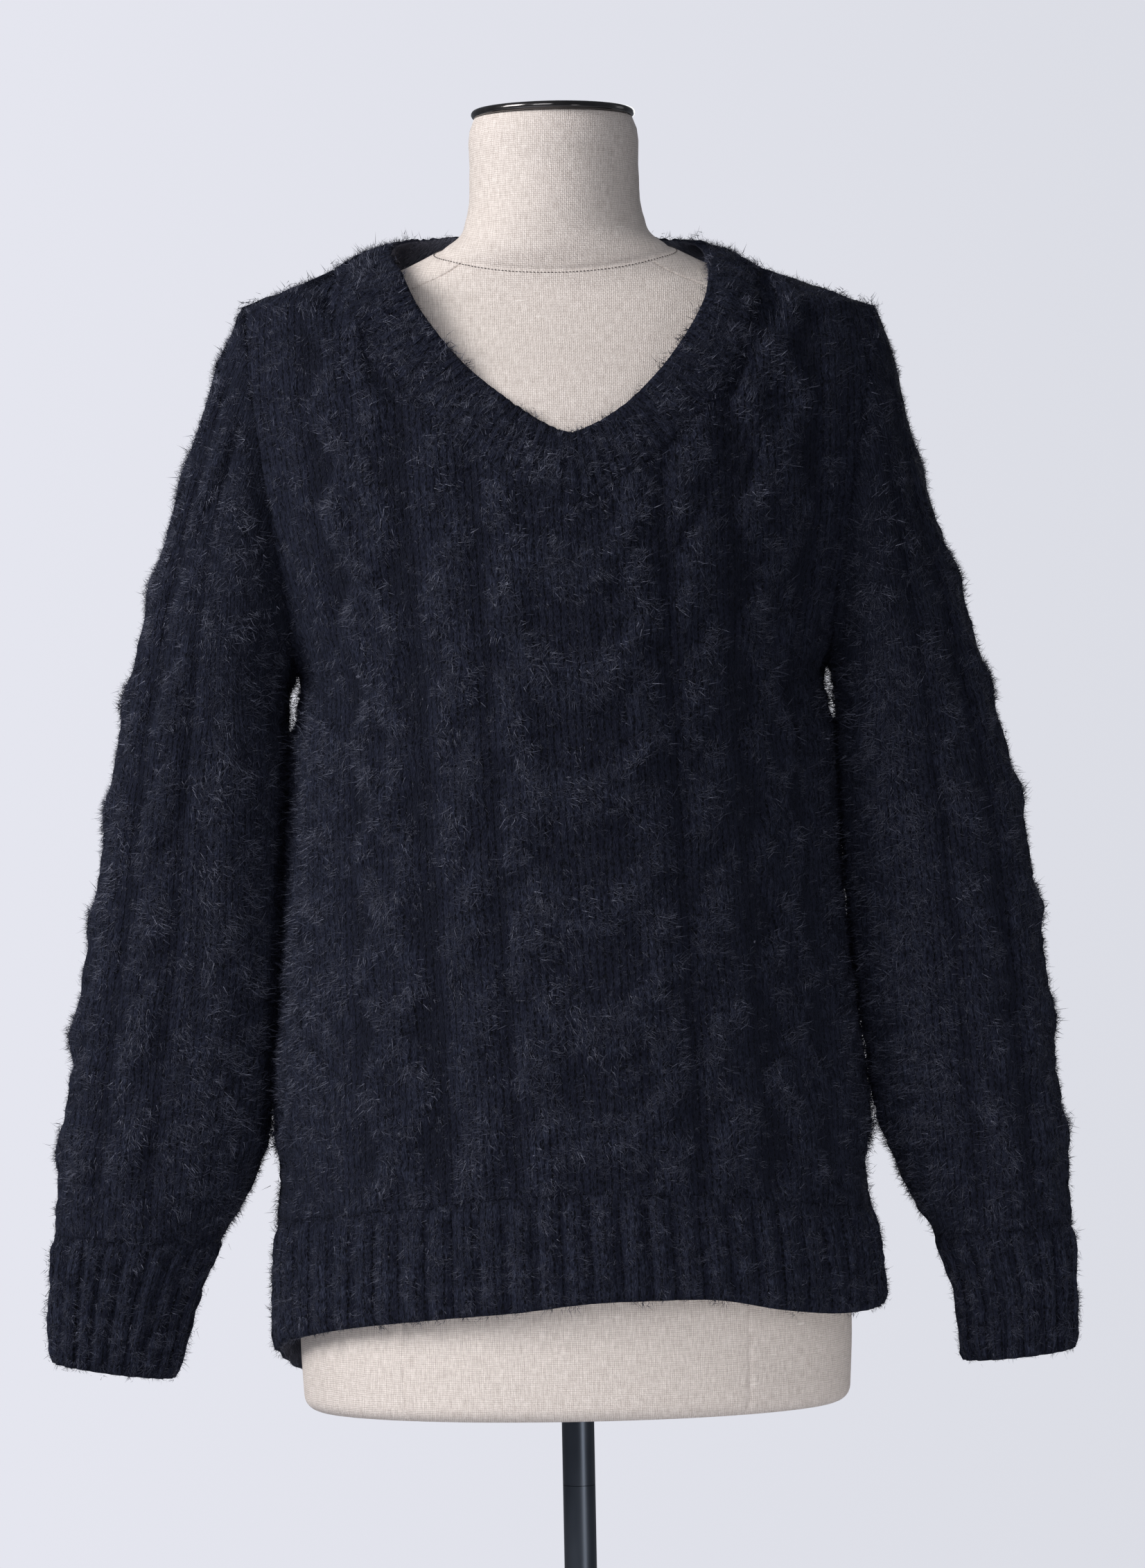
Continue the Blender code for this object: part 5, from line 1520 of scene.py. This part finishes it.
def turned(name, outline):
    """A piece turned about the Z axis from a closed or open outline of (radius, height) points."""
    angles = np.linspace(0, 2 * np.pi, ROUND_SIDES, endpoint=False)
    around = np.arange(ROUND_SIDES + 1) % ROUND_SIDES
    points, rows = [], []
    for radius, height in outline:
        tip = radius == 0
        rows.append(len(points) + around * (not tip))
        turns = angles[:1] if tip else angles
        points += [(radius * np.cos(t), radius * np.sin(t), height) for t in turns]
    faces = [tuple(dict.fromkeys(corners.tolist())) for corners in quads(np.array(rows))]
    return add_mesh(name, points, [face for face in faces if len(face) > 2], TURNED_SHARP)


def arc(middle, radius, start, stop, steps=8):
    """Points of an arc in an outline, by its angles in degrees."""
    turns = np.radians(np.linspace(start, stop, steps + 1))
    return [(middle[0] + radius * np.cos(t), middle[1] + radius * np.sin(t)) for t in turns]


CAP_EDGE = 0.8  # millimetres over which the cap's side turns into its crown
CROWN_SHARES = np.linspace(0.97, 0.0, 14)  # how far out the crown's rows lie


def make_cap():
    """The linen cap on the neck and the metal rim round it."""
    low = FORM["height"][-1] + GAP
    waist = CAP_RADIUS - 1.5 * RIM_TUBE
    top = low + CAP_HEIGHT
    crown = [(waist * share, top + CAP_CROWN * (1 - share**2)) for share in CROWN_SHARES]
    cap = turned("linen_cap", [(0, low), (waist, low), (waist, top - CAP_EDGE), *crown])
    rim_middle = waist + RIM_TUBE + GAP
    rim = arc((rim_middle, low + RIM_TUBE), RIM_TUBE, -90, 270, 24)
    return cap, turned("cap_rim_bead", rim)


BASE_SLOPE = ((BASE_RADIUS * 0.6, BASE_EDGE + 8), (COLLAR_RADIUS + 4, BASE_HEIGHT))
BASE_FOOT_ROUND = 1  # radii of the rounded edges
BASE_RIM_ROUND = 4
COLLAR_ROUND = 3


def rod(low, high):
    return [(0, low), (POLE_RADIUS, low), (POLE_RADIUS, high), (0, high)]


def make_stand():
    """The two tubes of the pole, the base and the collar, by the nodes they stand for."""
    low = BASE_HEIGHT + GAP
    upper, lower = rod(POLE_JOINT + GAP / 2, FORM_BASE - GAP), rod(low, POLE_JOINT - GAP / 2)
    foot, rim = BASE_RADIUS - BASE_FOOT_ROUND, BASE_RADIUS - BASE_RIM_ROUND
    base = [(0, 0), (foot, 0)] + arc((foot, BASE_FOOT_ROUND), BASE_FOOT_ROUND, -90, 0, 3)[1:]
    base += arc((rim, BASE_EDGE), BASE_RIM_ROUND, 0, 75, 6)
    base += [*BASE_SLOPE, (0, BASE_HEIGHT)]
    bore, high = POLE_RADIUS + GAP, low + COLLAR_HEIGHT
    top = arc((COLLAR_RADIUS - COLLAR_ROUND, high - COLLAR_ROUND), COLLAR_ROUND, 0, 90)
    collar = [(bore, low), (COLLAR_RADIUS, low), *top, (bore, high), (bore, low)]
    return {
        "pole_upper": turned("upper_pole_tube", upper),
        "pole_lower": turned("lower_pole_tube", lower),
        "base_plate": turned("turned_base", base),
        "pole_collar": turned("turned_collar", collar),
    }


cap_piece, rim_piece = make_cap()
stand_pieces = make_stand()
print("turned pieces:", [piece.name for piece in (cap_piece, rim_piece, *stand_pieces.values())])

# %% [markdown]
# ## The hairs
#
# The yarn is brushed, so short hairs stand out of it in tufts, like small fans, and lie over one another.
# Hundreds of thousands of them can't be placed by hand. A few tufts are modelled, and a Geometry Nodes
# tree scatters them over the faces marked "fur". They are long and dense on the cables, and short in the
# hollows, where the stitches show between them. Noise turns neighbours the same way, as brushing does.
# A hair is one long triangle, so that the coat stays light.

# %% Tufts of hairs
TUFT_KINDS = 9
HAIRS = 16  # in a tuft
HAIR_WIDTH = 0.33  # millimetres at the root
HAIR_LENGTHS = (2.6, 6.4)
HAIR_LEANS = (40.0, 84.0)  # degrees away from the cloth's normal
FAN = 75.0  # degrees to each side over which a tuft's hairs spread
ROOT_SPREAD = 2.3  # how far round a tuft's middle its hairs' roots stand
ROOT_DEPTH = 0.3  # how deep they stand below the surface
HAIR_TONES = (0.1, 1.0)
ROOT_TONE = 0.3  # a root's tone as a share of its hair's


def aim(lean, turn):
    """A direction that leans away from the normal, towards a turn about it, both in degrees."""
    lean, turn = np.radians(lean), np.radians(turn)
    return np.array([np.sin(lean) * np.cos(turn), np.sin(lean) * np.sin(turn), np.cos(lean)])


def tuft_mesh(name, random):
    """Hairs that fan out of one place. The attribute "tip" holds each hair's tone, less at its root."""
    points, faces, tones = [], [], []
    for k in range(HAIRS):
        turn, lean = random.uniform(-FAN, FAN), random.uniform(*HAIR_LEANS)
        root = np.append(random.normal(0, ROOT_SPREAD, 2), -ROOT_DEPTH)
        half = HAIR_WIDTH / 2 * aim(90.0, turn + 90.0)
        points += [root - half, root + half, root + random.uniform(*HAIR_LENGTHS) * aim(lean, turn)]
        faces.append((3 * k, 3 * k + 1, 3 * k + 2))
        tone = random.uniform(*HAIR_TONES)
        tones += [ROOT_TONE * tone, ROOT_TONE * tone, tone]
    piece = add_mesh(name, points, faces)
    piece.data.attributes.new("tip", "FLOAT", "POINT").data.foreach_set("value", tones)
    return piece


tuft_random = np.random.default_rng(11)
tufts = bpy.data.collections.new("tufts")
for kind in range(TUFT_KINDS):
    tuft = tuft_mesh(f"tuft_{kind}", tuft_random)
    bpy.context.scene.collection.objects.unlink(tuft)
    tufts.objects.link(tuft)

# %% A tree that grows hairs
TUFTS_PER_AREA = 55_000.0  # for each square metre of knit
CLUMP_SIZE = 13.0 * MM  # how far apart dense and thin places lie
COMB_SIZE = 15.0 * MM  # how far apart hairs lie that point elsewhere
CLUMP_NOISE = (0.35, 0.65)  # the span of noise ...
CLUMP_DENSITY = (0.9, 1.1)  # ... over which the tufts stand less and more densely
HOLLOW_TO_CABLE = (0.1, 0.8)  # the relief at which a hollow ends and a cable begins
HOLLOW_COVER = 0.42  # how many tufts grow in a hollow for each one on a cable
TUFT_LENGTHS = (0.6, 1.1)  # how long the hairs are in a hollow and on a cable
TUFT_SIZES = (0.6, 1.25)
COMB_TURN = 6 * np.pi  # how far the noise of the combing turns a tuft
STRAY_TURN = (0.3, 0.3, 0.8)  # how far chance turns it about each axis


def random_value(tree, low, high, seed=0):
    """A number, or three, that chance picks for each tuft."""
    vector = isinstance(low, tuple)
    kind = "FLOAT_VECTOR" if vector else "FLOAT"
    node = add(tree, "FunctionNodeRandomValue", data_type=kind, Seed=seed)
    first = 0 if vector else 2
    node.inputs[first].default_value, node.inputs[first + 1].default_value = low, high
    return Wire(node, 0 if vector else 1)


def fur_tree():
    """The tree that scatters tufts over the marked faces and makes them one mesh."""
    inputs = {"Geometry": "Geometry", "Tufts": "Collection", "Density": TUFTS_PER_AREA}
    inputs |= {"Clump Size": CLUMP_SIZE, "Comb Size": COMB_SIZE, "Length": 1.0, "Seed": 0}
    inputs |= {"Hair": "Material"}
    tree, entry, end = new_tree("fur", "Geometry", inputs, {"Geometry": "Geometry"})
    marked, raised = (
        Wire(add(tree, "GeometryNodeInputNamedAttribute", data_type=kind, Name=name), "Attribute")
        for name, kind in (("fur", "BOOLEAN"), ("relief", "FLOAT"))
    )
    clumps = noise(tree, None, 1.0 / entry["Clump Size"], 1.5).span(*CLUMP_NOISE, *CLUMP_DENSITY)
    dense = entry["Density"] * clumps * raised.span(*HOLLOW_TO_CABLE, HOLLOW_COVER, 1.0)
    marks = {"Mesh": entry["Geometry"], "Selection": marked, "Density": dense, "Seed": entry["Seed"]}
    scatter = wires(add(tree, "GeometryNodeDistributePointsOnFaces", **marks))
    # Each tuft keeps a random number, its tone, which its hairs' colour is taken from.
    toned = add(
        tree, "GeometryNodeStoreNamedAttribute", data_type="FLOAT", domain="POINT",
        Geometry=scatter["Points"], Name="tone", Value=random_value(tree, 0.0, 1.0, 5),
    )
    source = add(
        tree, "GeometryNodeCollectionInfo",
        Collection=entry["Tufts"], Separate_Children=True, Reset_Children=True,
    )
    size = random_value(tree, *TUFT_SIZES) * entry["Length"]
    place = add(
        tree, "GeometryNodeInstanceOnPoints", Points=Wire(toned), Instance=Wire(source),
        Rotation=scatter["Rotation"], Scale=size * raised.span(*HOLLOW_TO_CABLE, *TUFT_LENGTHS),
        Pick_Instance=True,
    )
    # Brushing turns neighbours the same way: noise gives the turn, and chance a little more.
    combed = noise(tree, None, 1.0 / entry["Comb Size"], 1.0) * COMB_TURN
    together = Wire(add(tree, "ShaderNodeCombineXYZ", Z=combed))
    chance = random_value(tree, tuple(-turn for turn in STRAY_TURN), STRAY_TURN, 9)
    turns = Wire(add(tree, "ShaderNodeVectorMath", together, chance))
    spin = add(tree, "GeometryNodeRotateInstances", Instances=Wire(place), Rotation=turns)
    return paint_instances(tree, Wire(spin), entry["Hair"], end)


furring = fur_tree()
KNITTED = {
    "front": front_piece,
    "back": back_piece,
    "front_hem_rib": front_hem_piece,
    "back_hem_rib": back_hem_piece,
    "neckband": neckband_piece,
    "sleeve_left": sleeve_pieces["left"][0],
    "sleeve_right": sleeve_pieces["right"][0],
    "cuff_left": cuff_pieces["left"],
    "cuff_right": cuff_pieces["right"],
}
# The neckband's hairs show against the linen, and those on the other ribs are shorter, so the ribs show.
FUR_DENSITY = {"neckband": 1.5}
FUR_LENGTH = {"front_hem_rib": 0.75, "back_hem_rib": 0.75, "cuff_left": 0.75, "cuff_right": 0.75}
FUR = {}
for seed, (node, piece) in enumerate(KNITTED.items()):
    FUR[node] = apply_tree(
        piece, furring, "hairs_" + node, tufts=tufts, hair=MATERIALS["hairs"], seed=seed,
        density=TUFTS_PER_AREA * FUR_DENSITY.get(node, 1.0), length=FUR_LENGTH.get(node, 1.0),
        clump_size=CLUMP_SIZE, comb_size=COMB_SIZE,
    )
for tuft in list(tufts.objects):
    bpy.data.objects.remove(tuft)
bpy.data.collections.remove(tufts)

# %% [markdown]
# ## Materials
#
# Every finish is worked out by nodes, from the cloth's own map or from the object's coordinates, so it
# holds from every side. What several finishes share is a node group with named inputs and outputs. The
# groups give only colours, masks and heights. The shader itself stays in each material.

# %% Helpers for materials
def parts(vector):
    node = add(vector.node.id_data, "ShaderNodeSeparateXYZ", vector)
    return [Wire(node, k) for k in range(3)]


def stretched(vector, scale, turn=0.0):
    mapping = {"Vector": vector, "Scale": scale, "Rotation": (0.0, 0.0, turn)}
    return Wire(add(vector.node.id_data, "ShaderNodeMapping", **mapping))


def mix(share, first, second):
    node = add(share.node.id_data, "ShaderNodeMix", share, data_type="RGBA")
    for socket, colour in zip([socket for socket in node.inputs if socket.type == "RGBA"], (first, second)):
        join(colour, socket)
    return Wire(node, [socket.type for socket in node.outputs].index("RGBA"))


def placed(tree, group, **inputs):
    """A group placed in a material. Gives its outputs by name."""
    return wires(add(tree, "ShaderNodeGroup", node_tree=group, **inputs))


def attribute(tree, name):
    return Wire(add(tree, "ShaderNodeAttribute", attribute_name=name), "Fac")


def bump(height, strength, distance):
    settings = {"Height": height, "Strength": strength, "Distance": distance}
    return Wire(add(height.node.id_data, "ShaderNodeBump", **settings))


def uv_place(tree, name):
    return Wire(add(tree, "ShaderNodeUVMap", uv_map=name))


def own_place(tree, kind="Object"):
    return Wire(add(tree, "ShaderNodeTexCoord"), kind)


def shader_of(name):
    tree = MATERIALS[name].node_tree
    return tree, tree.nodes["Principled BSDF"]


# %% [markdown]
# ### Knit stitches
#
# Plain knit is columns of small V shapes. In each column, or wale, two legs lean towards each other and
# the next V sits inside the last. The group works that out from the flat cloth's two lengths: which side
# of the wale a point lies on, how far it is from the wale's middle, and where it is in its stitch.

# %% The stitches group
WALE = 4.3 * MM  # a stitch's width
COURSE = 3.5 * MM  # and its height
FINENESS = 1300.0  # strokes of the fuzz in a metre
LEG_SLANT = 1.7  # courses that a leg rises over a wale's width
SLIT_EDGES = (0.33, 0.44)  # how far from the wale's middle a slit begins and is in full
STROKES = (  # turn and stretch of each layer of strokes
    (0.35, 0.13),
    (-0.55, 0.15),
    (1.2, 0.14),
    (-1.15, 0.16),
)


def stitches_group():
    """The height of plain knit, and the slits between its wales."""
    inputs = {"Cloth": "Vector", "Wale": WALE, "Course": COURSE, "Wander": 0.35}
    tree, entry, end = new_tree("stitches", "Shader", inputs, {"Height": "Float", "Gap": "Float"})
    across, up, _ = parts(entry["Cloth"])
    drift = (noise(tree, entry["Cloth"], 160.0, 1.0) - 0.5) * entry["Wander"]
    column, row = across / entry["Wale"] + drift, up / entry["Course"] + drift
    off = abs(math("FRACT", column) - 0.5)
    along = math("SINE", math("FRACT", row - off * LEG_SLANT) * np.pi)
    height = along**0.6 * (1.0 - (off * 2.0) ** 2.0) ** 0.5
    # Between two wales the yarns part in short slits, a stitch long, that alternate like bricks.
    brick = math("FLOOR", column + 0.5) * 0.5
    beat = math("SINE", (row + brick) * (2 * np.pi))
    slit = off.span(*SLIT_EDGES) * beat.span(-0.6, 0.3, 0.3, 1.0)
    feed(end, Height=height - slit, Gap=slit)
    return tree


def fuzz_group():
    """Fine strokes that run every way, like the hairs that lie flat on the cloth."""
    outputs = {"Strokes": "Float", "Patches": "Float", "Pits": "Float"}
    tree, entry, end = new_tree("fuzz", "Shader", {"Cloth": "Vector", "Fineness": FINENESS}, outputs)
    cloth = entry["Cloth"]
    layers = []
    for turn, stretch in STROKES:
        warped = stretched(cloth, (1.0, stretch, 1.0), turn)
        layers.append(noise(tree, warped, entry["Fineness"], 1.0, 0.5, 0.6).span(0.54, 0.70))
    strokes = layers[0]
    for layer in layers[1:]:
        strokes = math("MAXIMUM", strokes, layer)
    pits = noise(tree, stretched(cloth, (1.0, 0.55, 1.0)), 420.0, 2.0, 0.6).span(0.44, 0.33)
    feed(end, Strokes=strokes, Patches=noise(tree, cloth, 110.0, 3.0, 0.6), Pits=pits)
    return tree


STITCHES = stitches_group()
FUZZ = fuzz_group()

# %% Knit and its hairs
WANDER = 0.5  # how far the wales and courses drift, in stitches
# Painted shade: the near-black colour of the slits, pits and hollows.
KNIT_PAINTED_SHADE = (0.0010, 0.0013, 0.0025, 1)
KNIT_DARK = (0.0058, 0.0066, 0.0140, 1)
KNIT_LIGHT = (0.0290, 0.0335, 0.0560, 1)
HAIR_DARK = (0.0056, 0.0064, 0.0138, 1)
HAIR_LIGHT = (0.1450, 0.1560, 0.2200, 1)
# Painted light: a pale colour for the inner faces, which lie in shade.
KNIT_INSIDE_PAINTED_LIGHT = (0.1100, 0.1150, 0.1500, 1)


def knit_material():
    """The knit under its hairs: dark stitches, fine strokes that lie flat, and painted light and shade from
    its relief.
    """
    tree, shader = shader_of("knit")
    cloth = uv_place(tree, "knit")
    stitches = placed(tree, STITCHES, Cloth=cloth, Wale=WALE, Course=COURSE, Wander=WANDER)
    fuzz = placed(tree, FUZZ, Cloth=cloth, Fineness=FINENESS)
    raised = attribute(tree, "relief")
    strokes, patches, pits = fuzz["Strokes"], fuzz["Patches"], fuzz["Pits"]
    # The strokes are paler hairs that lie flat. The stitches' raised middles are painted lighter, painted
    # light, and the knit is painted darker towards the hollows between the cables, painted shade.
    lit = math("ADD", strokes * patches.span(0.38, 0.62, 0.2, 1.0), stitches["Height"] * 0.12, clamp=True)
    colour = mix(lit * raised.span(0.05, 0.8, 0.3, 1.0), KNIT_DARK, KNIT_LIGHT)
    # The slits show in patches, where the hairs part. The slits, the pits and the hollows between the cables
    # are painted near black: painted shade.
    slit = math("MAXIMUM", stitches["Gap"] * patches.span(0.66, 0.46, 0.35, 1.0), pits * 0.8)
    colour = mix(math("MAXIMUM", slit, raised.span(-0.05, 0.16, 0.45, 0.0)), colour, KNIT_PAINTED_SHADE)
    # The inside has no hairs over it, and is painted much paler than the outside: painted light on inner
    # faces that lie in shade.
    colour = mix(raised.span(1.2, INSIDE), colour, KNIT_INSIDE_PAINTED_LIGHT)
    height = stitches["Height"] * 0.45 + strokes * 0.5 - pits * 0.9
    feed(
        shader, Base_Color=colour, Roughness=strokes.span(0.0, 1.0, 0.95, 0.75),
        Specular_IOR_Level=0.08, Sheen_Weight=0.06, Sheen_Roughness=0.45,
        Sheen_Tint=(0.25, 0.30, 0.50, 1), Normal=bump(height, 0.9, 1.2 * MM),
    )


def hair_material():
    """The hairs, brighter at their tips, each tuft in its own tone, and painted darker in the hollows
    between the cables: painted shade.
    """
    tree, shader = shader_of("hairs")
    shade = noise(tree, own_place(tree), 330.0, 2.5, 0.6)
    tone, tip, raised = (attribute(tree, name) for name in ("tone", "tip", "relief"))
    bright = tone.span(0.0, 1.0, 0.55, 1.0) * shade.span(0.42, 0.60, 0.12, 1.0)
    # Hairs in the hollows between the cables are painted darker: painted shade.
    bright = bright * tip**2.2 * raised.span(0.0, 0.9, 0.35, 1.0)
    feed(
        shader, Base_Color=mix(bright, HAIR_DARK, HAIR_LIGHT), Roughness=shade.span(0.3, 0.7, 0.6, 0.4),
        Specular_IOR_Level=0.55, Specular_Tint=(0.74, 0.78, 1.0, 1),
    )


knit_material()
hair_material()

# %% [markdown]
# ### Linen
#
# The form's linen is a plain weave: threads about a millimetre apart cross over and under, and no two
# are equally thick. Thick places, called slubs, show as short bright or dark dashes along a thread.

# %% The linen's weave
THREAD_PITCH = 1.2 * MM


def weave_group():
    """The height of a plain weave, how its threads differ, and its slubs."""
    outputs = {"Height": "Float", "Threads": "Float", "Slubs": "Float"}
    tree, entry, end = new_tree("weave", "Shader", {"Cloth": "Vector", "Pitch": THREAD_PITCH}, outputs)
    cloth = entry["Cloth"]
    drift = (noise(tree, cloth, 90.0, 2.0) - 0.5) * 1.3
    waves = [math("SINE", (line / entry["Pitch"] + drift) * np.pi) for line in parts(cloth)[:2]]
    over = math("GREATER_THAN", waves[0] * waves[1], 0.0)
    sides = [abs(wave) for wave in waves]
    woven = [a * b.span(0.0, 1.0, 0.55, 1.0) for a, b in (sides, sides[::-1])]
    # Noise stretched along a thread's own direction makes each thread differ from the next.
    upright = noise(tree, stretched(cloth, (1.0, 0.12, 1.0)), 1050.0, 2.0, 0.7)
    level = noise(tree, stretched(cloth, (0.14, 1.0, 1.0)), 1050.0, 2.0, 0.7)
    slubs = noise(tree, stretched(cloth, (0.10, 1.0, 1.0)), 620.0, 1.0, 0.5)
    height = woven[0] * over + woven[1] * (1.0 - over)
    feed(end, Height=height, Threads=upright * 0.62 + level * 0.38, Slubs=slubs.span(0.72, 0.8))
    return tree


WEAVE = weave_group()
LINEN_DARK = (0.37, 0.315, 0.285, 1)
LINEN_LIGHT = (0.80, 0.735, 0.695, 1)
LINEN_SLUB = (0.87, 0.82, 0.78, 1)
THREAD_DARK = (0.045, 0.038, 0.038, 1)
THREAD_LIGHT = (0.10, 0.085, 0.08, 1)


def linen_material():
    """The woven linen, and the thread of its stitches."""
    tree, shader = shader_of("linen")
    weave = placed(tree, WEAVE, Cloth=uv_place(tree, "cloth"), Pitch=THREAD_PITCH)
    share = weave["Threads"].span(0.36, 0.64) * 0.5 + weave["Height"] * 0.5
    colour = mix(weave["Slubs"] * 0.55, mix(share, LINEN_DARK, LINEN_LIGHT), LINEN_SLUB)
    rough = weave["Height"].span(0.0, 1.0, 0.98, 0.82)
    woven = bump(weave["Height"], 0.55, 0.35 * MM)
    feed(shader, Base_Color=colour, Specular_IOR_Level=0.2, Roughness=rough, Normal=woven)
    tree, shader = shader_of("thread")
    shade = noise(tree, own_place(tree), 900.0, 1.0)
    feed(shader, Base_Color=mix(shade, THREAD_DARK, THREAD_LIGHT), Roughness=0.8)


linen_material()

# %% [markdown]
# ### Steel and dark chrome
#
# The rim is polished and dark, so what it reflects matters more than its colour. The pole and the base
# are duller. All share one group, which gives faint smears and a fine grain, and differ in their values.

# %% Metal
def wear_group():
    """Faint smears and a fine grain, drawn out up the metal."""
    inputs = {"Place": "Vector", "Size": 40.0, "Stretch": 0.2}
    tree, entry, end = new_tree("wear", "Shader", inputs, {"Smears": "Float", "Grain": "Float"})
    stretch = Wire(add(tree, "ShaderNodeCombineXYZ", 1.0, 1.0, entry["Stretch"]))
    drawn = Wire(add(tree, "ShaderNodeVectorMath", entry["Place"], stretch, operation="MULTIPLY"))
    feed(end, Smears=noise(tree, drawn, entry["Size"], 3.0, 0.6), Grain=noise(tree, drawn, 1400.0, 1.0))
    return tree


WEAR = wear_group()
METALS = {
    # name: (dark colour, light colour, low roughness, high roughness, size of the smears)
    "dark_chrome": ((0.035, 0.033, 0.034, 1), (0.11, 0.105, 0.105, 1), 0.07, 0.20, 55.0),
    "dark_steel": ((0.022, 0.027, 0.037, 1), (0.05, 0.058, 0.072, 1), 0.34, 0.46, 30.0),
    "base_steel": ((0.02, 0.022, 0.028, 1), (0.045, 0.048, 0.056, 1), 0.38, 0.55, 18.0),
}


def metal_material(name):
    """One of the metals, from the group and its row of values."""
    dark, light, low, high, size = METALS[name]
    tree, shader = shader_of(name)
    wear = placed(tree, WEAR, Place=own_place(tree), Size=size, Stretch=0.25)
    colour = mix(wear["Smears"].span(0.3, 0.7), dark, light)
    rough = wear["Smears"].span(0.3, 0.75, low, high)
    grain = bump(wear["Grain"], 0.08, 0.05 * MM)
    feed(shader, Base_Color=colour, Roughness=rough, Metallic=0.9, Normal=grain)


for name in METALS:
    metal_material(name)

# %% Dressing the pieces
def dress(piece, name):
    piece.data.materials.clear()
    piece.data.materials.append(MATERIALS[name])


def flat_map(piece):
    """A map called "cloth" for the cap: across and back, and its height added to the second."""
    points = np.array([vertex.co for vertex in piece.data.vertices])
    layer = piece.data.uv_layers.new(name="cloth")
    indices = np.array([loop.vertex_index for loop in piece.data.loops])
    corners = points[indices]
    layer.data.foreach_set("uv", (corners[:, :2] + corners[:, 2:] * (0, 1)).reshape(-1))


for piece in KNITTED.values():
    dress(piece, "knit")
dress(torso_piece, "linen")
flat_map(cap_piece)
dress(cap_piece, "linen")
dress(rim_piece, "dark_chrome")
for node, piece in stand_pieces.items():
    dress(piece, "base_steel" if node == "base_plate" else "dark_steel")

# %% [markdown]
# ## Light
#
# In the photo a large soft light stands to the left and a little in front. The backdrop is a pale,
# bluish white, and the right side of the pullover is nearly black. The backdrop's colour is what the
# camera sees. What lights the object is dimmer, so that the shaded side stays dark.

# %% Floor, backdrop and lights
FLOOR_RADIUS = 2.0
FLOOR_COLOUR = (0.72, 0.73, 0.77, 1)
# The backdrop's painted fall-off of light, from its left to its right.
BACKDROP_LEFT = (0.783, 0.791, 0.864, 1)
BACKDROP_RIGHT = (0.712, 0.724, 0.785, 1)
BACKDROP_REACH = 0.10  # how far to each side the direction of view turns across the backdrop
SURROUNDINGS = (0.50, 0.53, 0.60, 1)
SURROUNDINGS_STRENGTH = 0.28

bpy.ops.mesh.primitive_circle_add(vertices=96, radius=FLOOR_RADIUS, fill_type="NGON")
floor = bpy.context.object
floor.name = "floor"
floor_paint = material("floor_paint")
feed(floor_paint.node_tree.nodes["Principled BSDF"], Base_Color=FLOOR_COLOUR, Roughness=0.8)
floor.data.materials.append(floor_paint)

world = bpy.data.worlds.new("studio")
bpy.context.scene.world = world
world.use_nodes = True
sky = world.node_tree
# The backdrop is painted lighter on the left and darker on the right: a painted fall-off of light across it.
sideways = parts(own_place(sky, "Generated"))[0]
painted_falloff = mix(sideways.span(-BACKDROP_REACH, BACKDROP_REACH), BACKDROP_LEFT, BACKDROP_RIGHT)
seen = Wire(add(sky, "ShaderNodeBackground", Color=painted_falloff, Strength=1.0))
lit = Wire(add(sky, "ShaderNodeBackground", Color=SURROUNDINGS, Strength=SURROUNDINGS_STRENGTH))
ray = Wire(add(sky, "ShaderNodeLightPath"), "Is Camera Ray")
both = Wire(add(sky, "ShaderNodeMixShader", ray, lit, seen))
feed(sky.nodes["World Output"], Surface=both)
bpy.context.scene.view_settings.view_transform = "Standard"


def area_light(name, place, aim, size, power, colour, spread=180):
    """A rectangular light at one place that faces another, in metres."""
    data = bpy.data.lights.new(name, "AREA")
    data.shape = "RECTANGLE"
    data.size, data.size_y = size
    data.energy = power
    data.color = colour
    data.spread = np.radians(spread)
    lamp = linked(name, data)
    lamp.location = place
    away = np.array(place) - np.array(aim)
    turn, lift = np.arctan2(away[1], away[0]), np.arctan2(away[2], np.hypot(away[0], away[1]))
    lamp.rotation_euler = (np.pi / 2 - lift, 0, turn + np.pi / 2)


area_light("key", (-1.9, -1.1, 2.0), (0, 0, 0.85), (1.1, 1.3), 68.0, (1.0, 0.985, 0.97))
area_light("front_fill", (-0.8, -3.0, 2.0), (0, 0, 1.0), (1.4, 1.2), 30.0, (0.98, 0.98, 1.0))
area_light("low_fill", (1.3, -2.0, 0.2), (0.08, 0, 0.40), (0.5, 0.3), 1.0, (1.0, 0.98, 0.96), spread=40)
area_light("back_fill", (0.6, 3.0, 1.8), (0, 0, 0.8), (1.5, 1.5), 16.0, (0.97, 0.98, 1.0))
area_light("edge", (2.6, 0.9, 1.2), (0, 0, 0.8), (0.8, 1.8), 3.0, (0.95, 0.97, 1.0))

# %% [markdown]
# ## Handing the pieces over
#
# Each piece stands for one node of the model and moves with the one body, as its hairs do, and the model's
# own part is hidden. The area of each knitted piece's cloth is printed: half the area of its closed wall.

# %% Bodies and cloth
for node, piece in KNITTED.items():
    hairs = FUR[node]
    for thing in (piece, hairs):
        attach(thing, "root")
    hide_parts(node)
    cloth = sum(face.area for face in piece.data.polygons) / 2
    print(node, "has", round(cloth, 4), "square metres of cloth")

LINEN = {"form_torso": torso_piece, "neck_cap": cap_piece}
for node, piece in LINEN.items():
    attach(piece, "root")
    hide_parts(node)
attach(seam_piece, "root")
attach(rim_piece, "root")
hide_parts("cap_rim")
for node, piece in stand_pieces.items():
    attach(piece, "root")
    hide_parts(node)
